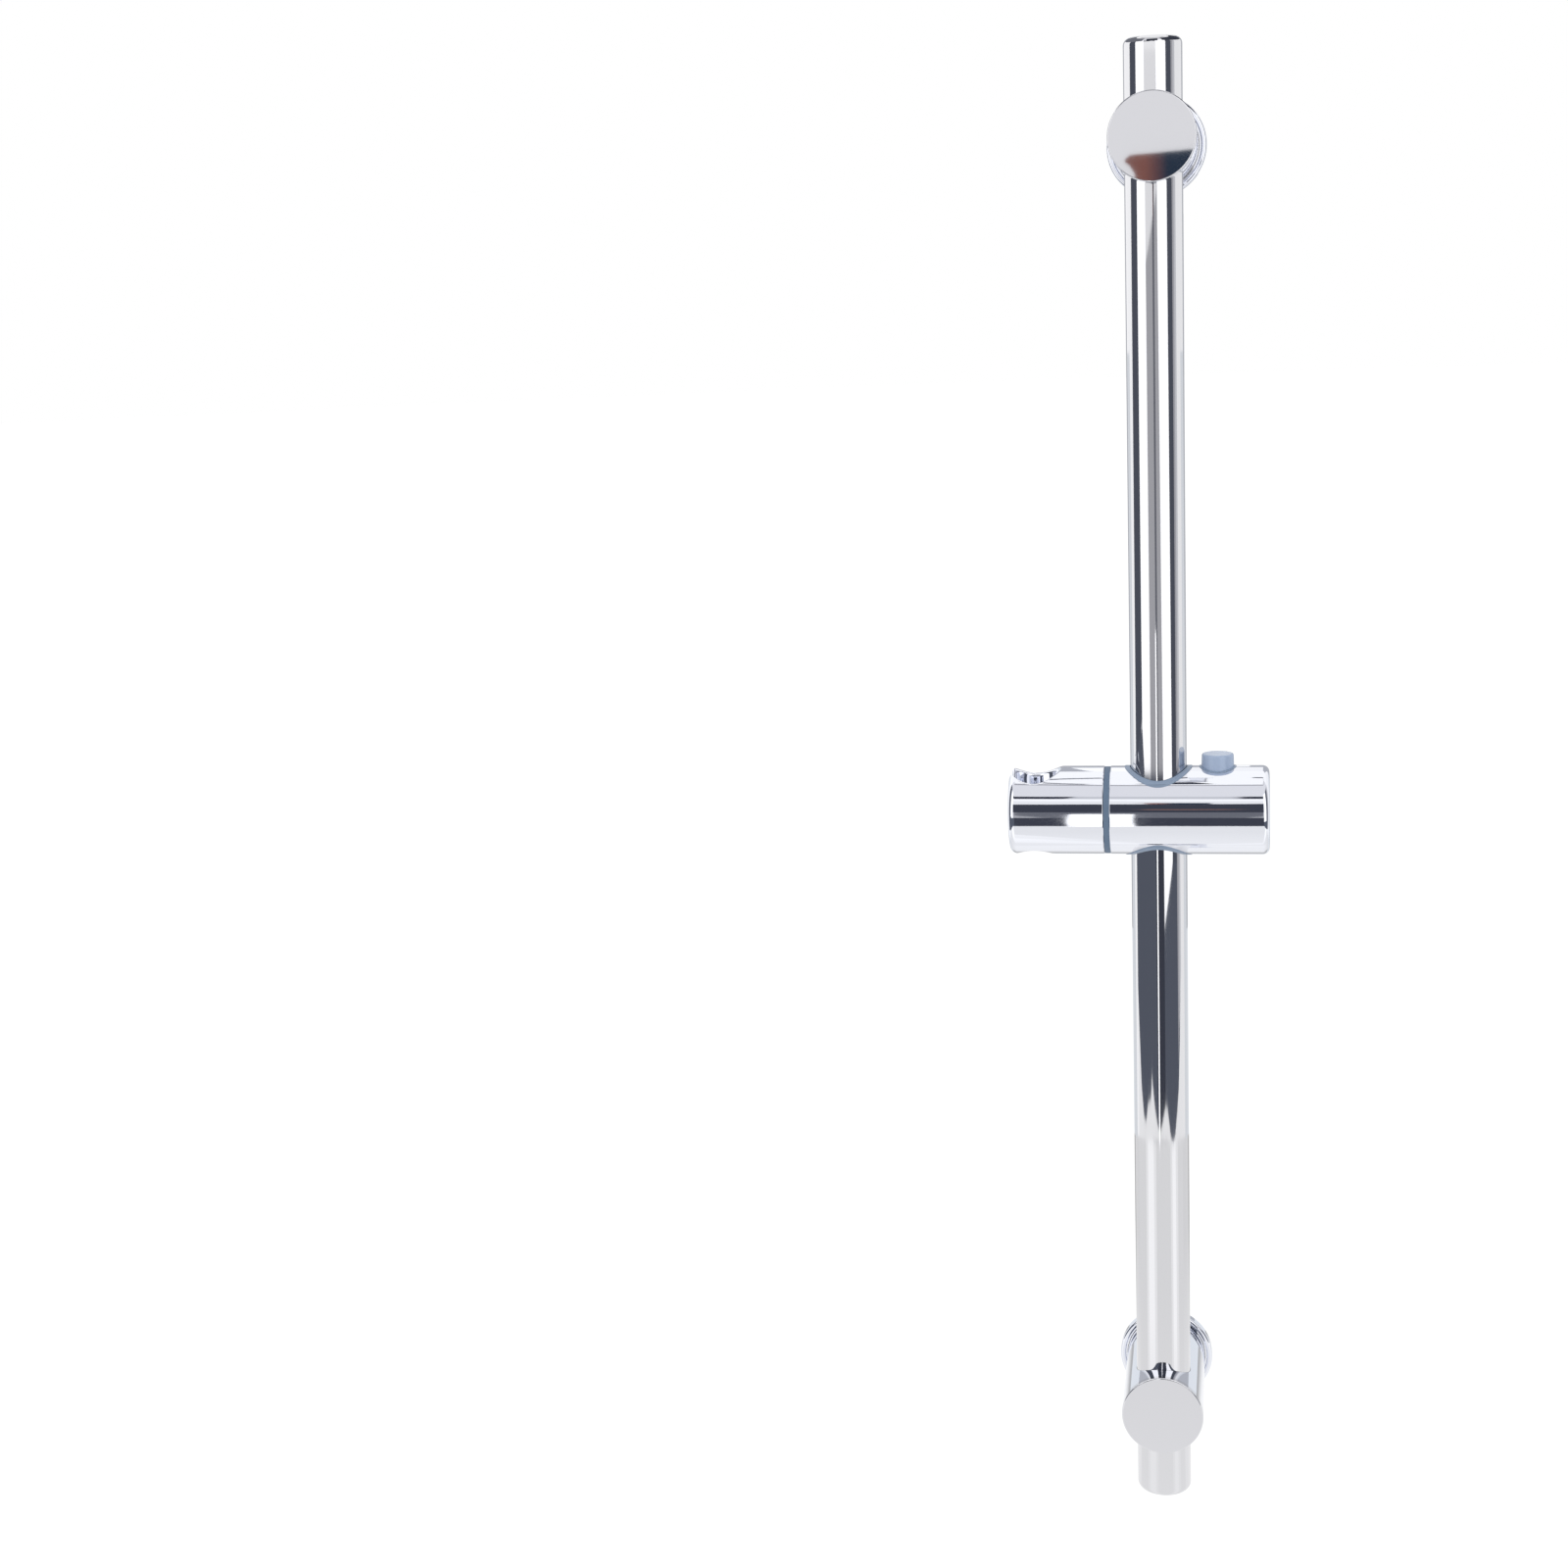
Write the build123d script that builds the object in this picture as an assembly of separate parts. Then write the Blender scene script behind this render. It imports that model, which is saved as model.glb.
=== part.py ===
# Shower slide rail: a round tube on two wall brackets, with a holder that slides, turns and swivels.
# Millimetres. +Z runs up the tube, +Y points into the wall, +X to the right as seen from the room.
# The origin lies on the wall, on the axis of the upper bracket.

import os
from math import atan2, degrees, hypot

from build123d import *

# Rail tube and its end caps
TUBE_OD = 25.0
TUBE_WALL = 1.0
RAIL_LENGTH = 665.0          # over both end caps
TOP_OVERHANG = 42.0          # upper bracket's axis to the upper end of the rail
BOTTOM_OVERHANG = 46.0       # lower bracket's axis to the lower end of the rail
TUBE_TO_WALL = 50.0          # tube axis to the wall
CAP_HEIGHT = 4.0
CAP_EDGE = 3.2
CAP_PLUG_LENGTH = 12.0
CAP_PLUG_WALL = 1.8
CAP_RIB_WIDTH = 1.4
CAP_RIB_COUNT = 3

# Wall brackets
POST_OD = 37.5
POST_WALL = 3.5
PROJECTION = 71.5            # wall to the front of the bracket
FACE_CAP_THICKNESS = 2.5
FACE_CAP_EDGE = 0.6
FACE_CAP_SPIGOT = 2.6
CLAMP_WEB = 4.0              # metal left between the post's hollow and its tube bore
HOLLOW_CHAMFER = 2.0
ROSETTE_WIDTH = 3.5          # post to the rosette's outer edge
ROSETTE_THICKNESS = 4.5
ROSETTE_EDGE = 1.1
ROSETTE_GROOVE = 0.65        # width of the groove between the post and the rosette's rim
ROSETTE_GROOVE_DEPTH = 1.2
SEAL_SECTION = 1.3
PLATE_THICKNESS = 12.0
PLATE_GROOVE_DEPTH = 1.5
PLATE_GROOVE_AT = 8.0        # wall to the groove that the grub screw bites in
SCREW_SPACING = 18.0
SCREW_HOLE = 4.8
SCREW_HEAD = 9.2
SCREW_HEAD_SINK = 1.0        # depth of the screw head's rim below the plate's face
GRUB_OD = 4.0
GRUB_TIP_OD = 0.8
CLAMP_SCREW_OD = 6.0
CLAMP_SCREW_LENGTH = 7.0
HEX_SHARE = 0.5              # key size of a set screw as a share of its thread

# Slider: outer form
SLIDER_ABOVE_END = 330.0     # lower end of the rail to the slider's axis
SLIDER_OD = 40.0
BODY_LEFT = 21.4             # tube axis to the body's left face
BODY_RIGHT = 48.9            # tube axis to the body's right end
SWIVEL_RING_WIDTH = 2.5
SWIVEL_RING_STEP = 0.3       # how far the ring lies below the round of the body
SOCKET_LENGTH = 42.6
END_ROUND = 3.0
EDGE_BREAK = 0.4

# Slider: shell, bushes and glide rings
SHELL_WALL = 2.2
SHELL_FLOOR = 3.0
BUSH_OD = 30.0
BUSH_GAP = 0.25              # between tube and bush, which the glide rings bridge
BUSH_PROUD = 0.25
BUSH_WINDOW = 15.0           # height left open between the two bushes for the brake
GLIDE_RING_HEIGHT = 3.0
GLIDE_RING_WALL = 1.14
GLIDE_LAND = 0.9             # bush left below the glide ring's groove

# Slider: swivel
RING_SPIGOT = 1.4
STUD_OD = 12.0
STUD_FLANGE_OD = 16.0
STUD_FLANGE = 2.2
STUD_REACH = 7.0             # depth of the stud in the socket
SWIVEL_WEB = 4.0             # socket metal between stud and screw head
SWIVEL_SCREW_OD = 5.0
SWIVEL_HEAD_OD = 8.5
SWIVEL_HEAD = 5.0
SWIVEL_KEY = 4.0
SWIVEL_KEY_DEPTH = 2.5
SWIVEL_SCREW_GRIP = 5.0
WASHER_OD = 12.0
WASHER_THICKNESS = 1.0
POCKET_DEPTH = 9.0
POCKET_WALL = 2.5
POCKET_RIBS = 6
POCKET_RIB = 1.6

# Slider: handset socket
HOLDER_TO_END = 11.0         # axis of the tapered bore to the socket's left end
CONE_TOP = 24.4
CONE_BOTTOM = 19.6
LIP_ROUND = 1.3
SLOT_WIDTH = 14.5
SLOT_ROUND = 1.2

# Slider: button and brake
BUTTON_TO_TUBE = 26.2
BUTTON_OD = 14.4
BUTTON_TOP_OD = 14.0
BUTTON_PROUD = 5.8
BUTTON_EDGE = 0.8
BUTTON_STEM = 7.0            # length guided below the crest of the body
BUTTON_FLANGE_OD = 15.4
BUTTON_FLANGE = 1.6
BUTTON_TRAVEL = 3.0
LEG_WIDTH = 9.0
LEG_THICKNESS = 2.0
LEG_BELOW_PIN = 3.4
GUIDE_OD = 16.4
PIN_OD = 3.0
SHOE_WIDTH = 10.0
SHOE_HEIGHT = 13.0
SHOE_TAIL = 9.8              # button axis to the shoe's right face
SHOE_HEAD_WIDTH = 18.0
SHOE_HEAD_DEPTH = 4.0
SHOE_SPIGOT = 2.0
PAD_THICKNESS = 1.5
PAD_START = 9.8              # tube axis to the ends of the pad and of the shoe's horns
BRAKE_RATIO = 0.4            # brake travel for each millimetre of button travel
SPRING_OD = 7.6
SPRING_WIRE = 0.8
SPRING_LENGTH = 8.3
SPRING_TURNS = 5

# Clearances
SEAT = 0.1                   # between pieces fixed to each other
RUNNING = 0.06               # on the radius of a turning or sliding fit
FREE = 0.35                  # between pieces that move past each other
PAST = 1.0                   # how far a cutter runs past what it cuts

# Places worked out from the sizes above
TUBE_R = TUBE_OD / 2
POST_R = POST_OD / 2
ROSETTE_R = POST_R + ROSETTE_WIDTH
SLIDER_R = SLIDER_OD / 2
SWIVEL_RING_R = SLIDER_R - SWIVEL_RING_STEP
HOLLOW_R = POST_R - POST_WALL
RAIL_TOP = TOP_OVERHANG
RAIL_BOTTOM = TOP_OVERHANG - RAIL_LENGTH
BRACKET_Z = {"upper": 0.0, "lower": RAIL_BOTTOM + BOTTOM_OVERHANG}
SLIDER_Z = RAIL_BOTTOM + SLIDER_ABOVE_END
HOLLOW_DEPTH = TUBE_TO_WALL - TUBE_R - SEAT - CLAMP_WEB
POST_FRONT = PROJECTION - FACE_CAP_THICKNESS
RING_RIGHT = -BODY_LEFT
SOCKET_RIGHT = RING_RIGHT - SWIVEL_RING_WIDTH - SEAT
SOCKET_LEFT = SOCKET_RIGHT - SOCKET_LENGTH
HOLDER_X = SOCKET_LEFT + HOLDER_TO_END
SHELL_BORE_R = SLIDER_R - SHELL_WALL
CORE_R = SHELL_BORE_R - SEAT
CORE_LEFT = RING_RIGHT + RING_SPIGOT + SEAT
CORE_RIGHT = BODY_RIGHT - SHELL_FLOOR - SEAT
BUSH_R = BUSH_OD / 2
STUD_FACE = -BUSH_R - 2 * SEAT
STUD_END = SOCKET_RIGHT - STUD_REACH
SCREW_SEAT = STUD_END - SEAT - SWIVEL_WEB
FLANGE_TOP = SLIDER_R - BUTTON_STEM
SHOE_RIGHT = BUTTON_TO_TUBE + SHOE_TAIL
BRAKE_TRAVEL = BUTTON_TRAVEL * BRAKE_RATIO


def rod_x(radius, x0, x1, y=0.0, z=0.0):
    """A round bar along X between two places."""
    return Pos((x0 + x1) / 2, y, z) * Rot(0, 90, 0) * Cylinder(radius, abs(x1 - x0))


def rod_y(radius, y0, y1, x=0.0, z=0.0):
    """A round bar along Y between two places."""
    return Pos(x, (y0 + y1) / 2, z) * Rot(90, 0, 0) * Cylinder(radius, abs(y1 - y0))


def rod_z(radius, z0, z1, x=0.0, y=0.0):
    """A round bar along Z between two places."""
    return Pos(x, y, (z0 + z1) / 2) * Cylinder(radius, abs(z1 - z0))


def block(x0, x1, y0, y1, z0, z1):
    """A box between two corners."""
    centre = Pos((x0 + x1) / 2, (y0 + y1) / 2, (z0 + z1) / 2)
    return centre * Box(abs(x1 - x0), abs(y1 - y0), abs(z1 - z0))


def turned_y(points):
    """A body turned about Y from its half outline, given as (radius, distance from the wall)."""
    outline = [(radius, -depth) for radius, depth in points]
    return revolve(make_face(Polyline(*outline, close=True)), Axis.Y)


def turned_z(points):
    """A body turned about Z from its half outline, given as (radius, height)."""
    return revolve(Plane.XZ * make_face(Polyline(*points, close=True)), Axis.Z)


def rim_edges(body, axis, place, radius):
    """The round edges of a turned body at one place along its axis and one radius."""
    along = {Axis.X: "X", Axis.Y: "Y", Axis.Z: "Z"}[axis]
    circles = body.edges().filter_by(GeomType.CIRCLE)
    level = [e for e in circles if abs(getattr(e.arc_center, along) - place) < 1e-4]
    return [e for e in level if abs(e.radius - radius) < 1e-4]


def hex_socket(across_flats, depth):
    """A hexagon key recess that opens at z = 0 and runs down."""
    hexagon = RegularPolygon(across_flats / 2, 6, major_radius=False)
    return extrude(hexagon, -depth)


def set_screw(diameter, length, tip_r):
    """A headless screw from z = 0 down: a hexagon recess at its top, a 45 degree tip of a given radius."""
    radius = diameter / 2 - SEAT / 2
    cone = radius - tip_r
    points = [(0, 0), (radius, 0), (radius, cone - length), (tip_r, -length), (0, -length)]
    return turned_z(points) - hex_socket(diameter * HEX_SHARE, min(length / 2, diameter / 2))


def rail_tube():
    low = RAIL_BOTTOM + CAP_HEIGHT
    high = RAIL_TOP - CAP_HEIGHT
    wall = rod_z(TUBE_R, low, high) - rod_z(TUBE_R - TUBE_WALL, low - PAST, high + PAST)
    return Pos(0, -TUBE_TO_WALL, 0) * wall


def end_cap():
    """A rounded cap with a hollow, ribbed plug, seated at z = 0 on the tube's end."""
    plug_r = TUBE_R - TUBE_WALL - 3 * SEAT
    rib_r = TUBE_R - TUBE_WALL - SEAT / 2
    head = rod_z(TUBE_R, 0, CAP_HEIGHT)
    head = fillet(rim_edges(head, Axis.Z, CAP_HEIGHT, TUBE_R), CAP_EDGE)
    plug = rod_z(plug_r, -CAP_PLUG_LENGTH, 0)
    pitch = CAP_PLUG_LENGTH / (CAP_RIB_COUNT + 0.5)
    for i in range(CAP_RIB_COUNT):
        middle = -pitch * (i + 0.75)
        plug += rod_z(rib_r, middle - CAP_RIB_WIDTH / 2, middle + CAP_RIB_WIDTH / 2)
    hollow = rod_z(plug_r - CAP_PLUG_WALL, -CAP_PLUG_LENGTH - PAST, 0)
    return head + plug - hollow


def post():
    """The turned post: hollow from the wall, bored across for the tube, recessed in front for its cap."""
    body = rod_y(POST_R, -POST_FRONT, 0)
    hollow = turned_y([
        (0, -PAST),
        (HOLLOW_R, -PAST),
        (HOLLOW_R, HOLLOW_DEPTH - HOLLOW_CHAMFER),
        (HOLLOW_R - HOLLOW_CHAMFER, HOLLOW_DEPTH),
        (0, HOLLOW_DEPTH),
    ])
    recess = rod_y(HOLLOW_R, -POST_FRONT - PAST, -POST_FRONT + FACE_CAP_SPIGOT + SEAT)
    tube_bore = rod_z(TUBE_R + SEAT, -POST_R - PAST, POST_R + PAST, y=-TUBE_TO_WALL)
    clamp_hole = rod_y(CLAMP_SCREW_OD / 2, -TUBE_TO_WALL, -HOLLOW_DEPTH + PAST)
    grub_hole = rod_z(GRUB_OD / 2, -POST_R - PAST, -HOLLOW_R + PAST, y=-PLATE_GROOVE_AT)
    return body - hollow - recess - tube_bore - clamp_hole - grub_hole


def face_cap():
    front = -PROJECTION
    disc = rod_y(POST_R, front, -POST_FRONT)
    disc = fillet(rim_edges(disc, Axis.Y, front, POST_R), FACE_CAP_EDGE)
    spigot_r = HOLLOW_R - SEAT
    spigot = rod_y(spigot_r, -POST_FRONT, -POST_FRONT + FACE_CAP_SPIGOT)
    relief = rod_y(spigot_r - POST_WALL, -POST_FRONT, -POST_FRONT + FACE_CAP_SPIGOT + PAST)
    return disc + (spigot - relief)


def seal_radius():
    """Radius of the circle on which the seal ring's round section is centred."""
    return POST_R + SEAT / 2 + SEAL_SECTION / 2


def rosette():
    """The wall rosette: a rim rounded in front, set off from the post by a groove, with a seal inside."""
    inner = POST_R + 2 * SEAT
    rim = inner + ROSETTE_GROOVE
    step = ROSETTE_THICKNESS - ROSETTE_GROOVE_DEPTH
    ring = turned_y([
        (inner, 0),
        (ROSETTE_R, 0),
        (ROSETTE_R, ROSETTE_THICKNESS),
        (rim, ROSETTE_THICKNESS),
        (rim, step),
        (inner, step),
    ])
    edge = min(ROSETTE_EDGE, (ROSETTE_R - rim) * 0.45, ROSETTE_GROOVE_DEPTH * 0.95)
    front = -ROSETTE_THICKNESS
    ring = fillet(rim_edges(ring, Axis.Y, front, ROSETTE_R) + rim_edges(ring, Axis.Y, front, rim), edge)
    groove_r = seal_radius() + SEAL_SECTION / 2 + SEAT / 2
    half = SEAL_SECTION / 2 + SEAT
    return ring - rod_y(groove_r, -step / 2 - half, -step / 2 + half)


def rosette_seal():
    middle = (ROSETTE_THICKNESS - ROSETTE_GROOVE_DEPTH) / 2
    section = Pos(seal_radius(), -middle) * Circle(SEAL_SECTION / 2)
    return revolve(section, Axis.Y)


def wall_plate():
    """The plate screwed to the wall, with a groove round it and two countersunk holes."""
    radius = HOLLOW_R - SEAT
    bottom = radius - PLATE_GROOVE_DEPTH
    outline = [(0, 0), (radius, 0)]
    outline += [(radius, PLATE_GROOVE_AT - PLATE_GROOVE_DEPTH), (bottom, PLATE_GROOVE_AT)]
    outline += [(radius, PLATE_GROOVE_AT + PLATE_GROOVE_DEPTH), (radius, PLATE_THICKNESS)]
    outline += [(0, PLATE_THICKNESS)]
    plate = turned_y(outline)
    sink = (SCREW_HEAD - SCREW_HOLE) / 2
    rim = PLATE_THICKNESS - SCREW_HEAD_SINK
    for side in (-1, 1):
        hole = turned_y([
            (0, -PAST),
            (SCREW_HOLE / 2, -PAST),
            (SCREW_HOLE / 2, rim - sink),
            (SCREW_HEAD / 2, rim),
            (SCREW_HEAD / 2, PLATE_THICKNESS + PAST),
            (0, PLATE_THICKNESS + PAST),
        ])
        plate -= Pos(side * SCREW_SPACING / 2, 0, 0) * hole
    return plate


def grub_screw():
    """The pointed set screw in the underside of the post, its tip in the wall plate's groove."""
    tip = HOLLOW_R - SEAT - PLATE_GROOVE_DEPTH + GRUB_TIP_OD / 2 + 2 * SEAT
    head = POST_R - 2 * SEAT
    screw = set_screw(GRUB_OD, head - tip, GRUB_TIP_OD / 2)
    return Pos(0, -PLATE_GROOVE_AT, -head) * Rot(180, 0, 0) * screw


def clamp_screw():
    """The set screw that presses on the back of the tube from inside the post."""
    tip = TUBE_TO_WALL - TUBE_R - SEAT / 2
    screw = set_screw(CLAMP_SCREW_OD, CLAMP_SCREW_LENGTH, CLAMP_SCREW_OD / 2 - EDGE_BREAK)
    return Pos(0, CLAMP_SCREW_LENGTH - tip, 0) * Rot(-90, 0, 0) * screw


def slider_shell():
    """The chromed cup of the body, with holes for the tube bushes and the button's guide."""
    shell = rod_x(SLIDER_R, RING_RIGHT, BODY_RIGHT)
    shell = fillet(rim_edges(shell, Axis.X, BODY_RIGHT, SLIDER_R), END_ROUND)
    shell = chamfer(rim_edges(shell, Axis.X, RING_RIGHT, SLIDER_R), EDGE_BREAK)
    shell -= rod_x(SHELL_BORE_R, RING_RIGHT - PAST, BODY_RIGHT - SHELL_FLOOR)
    shell -= rod_z(BUSH_R + SEAT, -SLIDER_R - PAST, SLIDER_R + PAST)
    shell -= rod_z(GUIDE_OD / 2 + SEAT / 2, 0, SLIDER_R + PAST, x=BUTTON_TO_TUBE)
    return shell


def bush_bore_radius():
    return TUBE_R + BUSH_GAP


def rail_bush():
    """The upper bush: its top follows the body, and a groove in its bore holds a glide ring."""
    low = BUSH_WINDOW / 2
    sleeve = rod_z(BUSH_R, low, SLIDER_OD) & rod_x(SLIDER_R + BUSH_PROUD, -SLIDER_OD, SLIDER_OD)
    sleeve -= rod_z(bush_bore_radius(), low - PAST, SLIDER_OD)
    groove_low = low + GLIDE_LAND
    groove_r = TUBE_R + RUNNING + GLIDE_RING_WALL + RUNNING
    groove = rod_z(groove_r, groove_low, groove_low + GLIDE_RING_HEIGHT + 2 * SEAT)
    return sleeve - groove


def glide_ring():
    """The plain ring in the upper bush's groove, which slides on the tube."""
    low = BUSH_WINDOW / 2 + GLIDE_LAND + SEAT
    inner = TUBE_R + RUNNING
    high = low + GLIDE_RING_HEIGHT
    return rod_z(inner + GLIDE_RING_WALL, low, high) - rod_z(inner, low - PAST, high + PAST)


def slider_core():
    """The moulded core: bored for the bushes, with a stud seat, a button well and the brake's channel."""
    core = rod_x(CORE_R, CORE_LEFT, CORE_RIGHT)
    core -= rod_z(BUSH_R + SEAT, -SLIDER_R, SLIDER_R)
    core -= rod_x(STUD_OD / 2 + SEAT, CORE_LEFT - PAST, 0)
    core -= rod_x(STUD_FLANGE_OD / 2 + SEAT, STUD_FACE - STUD_FLANGE, 0)
    core -= rod_z(GUIDE_OD / 2 + SEAT / 2, FLANGE_TOP, SLIDER_R, x=BUTTON_TO_TUBE)
    well_low = FLANGE_TOP - BUTTON_FLANGE - BUTTON_TRAVEL - FREE
    core -= rod_z(BUTTON_FLANGE_OD / 2 + FREE / 2, well_low, SLIDER_R, x=BUTTON_TO_TUBE)
    half_y = SHOE_WIDTH / 2 + FREE / 2
    half_z = SHOE_HEIGHT / 2 + FREE / 2
    spring_seat = SHOE_RIGHT + SEAT + SPRING_LENGTH
    core -= block(0, SHOE_RIGHT + BRAKE_TRAVEL + FREE, -half_y, half_y, -half_z, half_z)
    head_right = TUBE_R + PAD_THICKNESS + SHOE_HEAD_DEPTH + BRAKE_TRAVEL + FREE
    half_head = SHOE_HEAD_WIDTH / 2 + FREE / 2
    core -= block(0, head_right, -half_head, half_head, -half_z, half_z)
    core -= rod_x(SPRING_OD / 2 + FREE, SHOE_RIGHT, spring_seat + SEAT)
    half_leg = LEG_WIDTH / 2 + FREE / 2
    leg_out = SHOE_WIDTH / 2 + FREE + LEG_THICKNESS + FREE / 2
    leg_low = -LEG_BELOW_PIN - BUTTON_TRAVEL - FREE
    legs = block(-half_leg, half_leg, -leg_out, leg_out, leg_low, FLANGE_TOP)
    return core - Pos(BUTTON_TO_TUBE, 0, 0) * legs


def swivel_stud():
    """The shaft on which the socket turns, tapped at its end for the swivel screw."""
    shaft = STUD_OD / 2
    stud = rod_x(shaft, STUD_END, STUD_FACE) + rod_x(STUD_FLANGE_OD / 2, STUD_FACE - STUD_FLANGE, STUD_FACE)
    stud = chamfer(rim_edges(stud, Axis.X, STUD_END, shaft), EDGE_BREAK)
    return stud - rod_x(SWIVEL_SCREW_OD / 2, STUD_END - PAST, STUD_END + SWIVEL_SCREW_GRIP + SEAT)


def swivel_ring():
    """The plastic ring between body and socket, with a spigot that centres it in the shell."""
    left = RING_RIGHT - SWIVEL_RING_WIDTH
    right = RING_RIGHT + RING_SPIGOT
    ring = rod_x(SWIVEL_RING_R, left, RING_RIGHT) + rod_x(SHELL_BORE_R - SEAT, RING_RIGHT, right)
    return ring - rod_x(STUD_OD / 2 + SEAT, left - PAST, right + PAST)


def swivel_washer():
    right = SCREW_SEAT - SEAT / 2
    left = right - WASHER_THICKNESS
    hole_r = SWIVEL_SCREW_OD / 2 + SEAT
    return rod_x(WASHER_OD / 2, left, right) - rod_x(hole_r, left - PAST, right + PAST)


def swivel_screw():
    """The socket-head screw in the stud, reached through the handset bore."""
    under_head = SCREW_SEAT - WASHER_THICKNESS - SEAT
    head_top = under_head - SWIVEL_HEAD
    screw = rod_x(SWIVEL_HEAD_OD / 2, head_top, under_head)
    screw = chamfer(rim_edges(screw, Axis.X, head_top, SWIVEL_HEAD_OD / 2), EDGE_BREAK)
    screw += rod_x(SWIVEL_SCREW_OD / 2 - SEAT / 2, under_head, STUD_END + SWIVEL_SCREW_GRIP)
    key = Rot(0, -90, 0) * hex_socket(SWIVEL_KEY, SWIVEL_KEY_DEPTH)
    return screw - Pos(head_top, 0, 0) * key


def mouth_edges(socket, side):
    """The curved edges where the tapered bore meets the round of the socket, above or below."""
    straight_or_round = (GeomType.LINE, GeomType.CIRCLE)
    curved = [e for e in socket.edges() if e.geom_type not in straight_or_round]
    return [e for e in curved if all(side * (e @ t).Z > CONE_BOTTOM / 2 for t in (0, 0.25, 0.5))]


def handset_socket():
    """The swivelling holder: a tapered upright bore with a rounded mouth, slotted at the left end."""
    blank = rod_x(SLIDER_R, SOCKET_LEFT - SLIDER_R, SOCKET_RIGHT)
    widening = (CONE_TOP - CONE_BOTTOM) / 2 / SLIDER_OD * PAST
    low_r = CONE_BOTTOM / 2 - widening
    high_r = CONE_TOP / 2 + widening
    reach = SLIDER_R + PAST
    taper = turned_z([(0, -reach), (low_r, -reach), (high_r, reach), (0, reach)])
    socket = blank - Pos(HOLDER_X, 0, 0) * taper
    socket = fillet(mouth_edges(socket, 1), LIP_ROUND)
    socket = fillet(mouth_edges(socket, -1), LIP_ROUND / 2)
    end_form = rod_x(SLIDER_R, SOCKET_LEFT, SOCKET_RIGHT)
    end_form = fillet(rim_edges(end_form, Axis.X, SOCKET_LEFT, SLIDER_R), END_ROUND)
    end_form = chamfer(rim_edges(end_form, Axis.X, SOCKET_RIGHT, SLIDER_R), EDGE_BREAK)
    socket = socket & end_form
    socket -= slot_cutter()
    socket -= rod_x(STUD_OD / 2 + RUNNING, STUD_END - SEAT, SOCKET_RIGHT + PAST)
    socket -= rod_x(SWIVEL_SCREW_OD / 2 + 2 * SEAT, HOLDER_X, SOCKET_RIGHT)
    socket -= rod_x(WASHER_OD / 2 + SEAT, HOLDER_X, SCREW_SEAT)
    return socket - socket_pocket()


def slot_cutter():
    """The upright slot through the socket's left end, with rounded outer corners."""
    half = SLOT_WIDTH / 2
    left = SOCKET_LEFT - PAST
    plan = Pos((left + HOLDER_X) / 2, 0) * Rectangle(HOLDER_X - left, SLOT_WIDTH)
    for side in (-1, 1):
        corner = Pos(SLOT_ROUND / 2, side * SLOT_ROUND / 2) * Rectangle(SLOT_ROUND, SLOT_ROUND)
        corner -= Pos(SLOT_ROUND, side * SLOT_ROUND) * Circle(SLOT_ROUND)
        plan += Pos(SOCKET_LEFT, side * half) * corner
    return Pos(0, 0, -SLIDER_OD) * extrude(plan, 2 * SLIDER_OD)


def socket_pocket():
    """The ribbed ring-shaped pocket that keeps the socket's walls even, open behind the swivel ring."""
    outer = SLIDER_R - POCKET_WALL
    inner = STUD_OD / 2 + POCKET_WALL
    left = SOCKET_RIGHT - POCKET_DEPTH
    right = SOCKET_RIGHT + PAST
    pocket = rod_x(outer, left, right) - rod_x(inner, left - PAST, right + PAST)
    for i in range(POCKET_RIBS):
        rib = block(left - PAST, right + PAST, -POCKET_RIB / 2, POCKET_RIB / 2, 0, SLIDER_R)
        pocket -= Rot(360 / POCKET_RIBS * i, 0, 0) * rib
    return pocket


def button_guide():
    """The guide ring round the button, its top following the round of the body."""
    sleeve = rod_z(GUIDE_OD / 2, FLANGE_TOP + SEAT / 2, SLIDER_OD, x=BUTTON_TO_TUBE)
    sleeve = sleeve & rod_x(SLIDER_R + BUSH_PROUD, 0, SLIDER_OD * 2)
    return sleeve - rod_z(BUTTON_OD / 2 + RUNNING, 0, SLIDER_OD, x=BUTTON_TO_TUBE)


def push_button():
    """The tapered button with its stop flange and two legs that straddle the brake shoe."""
    radius = BUTTON_OD / 2
    top = SLIDER_R + BUTTON_PROUD
    head = turned_z([
        (0, FLANGE_TOP - BUTTON_FLANGE),
        (BUTTON_FLANGE_OD / 2, FLANGE_TOP - BUTTON_FLANGE),
        (BUTTON_FLANGE_OD / 2, FLANGE_TOP),
        (radius, FLANGE_TOP),
        (radius, SLIDER_R),
        (BUTTON_TOP_OD / 2, top),
        (0, top),
    ])
    head = fillet(rim_edges(head, Axis.Z, top, BUTTON_TOP_OD / 2), BUTTON_EDGE)
    inner = SHOE_WIDTH / 2 + FREE
    outer = inner + LEG_THICKNESS
    leg_top = FLANGE_TOP - BUTTON_FLANGE / 2
    for side in (-1, 1):
        head += block(-LEG_WIDTH / 2, LEG_WIDTH / 2, side * inner, side * outer, -LEG_BELOW_PIN, leg_top)
    head -= rod_y(PIN_OD / 2 + SEAT / 2, -BUTTON_OD, BUTTON_OD)
    return Pos(BUTTON_TO_TUBE, 0, 0) * head


def button_pin():
    reach = SHOE_WIDTH / 2 + FREE + LEG_THICKNESS
    return rod_y(PIN_OD / 2, -reach, reach, x=BUTTON_TO_TUBE)


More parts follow.
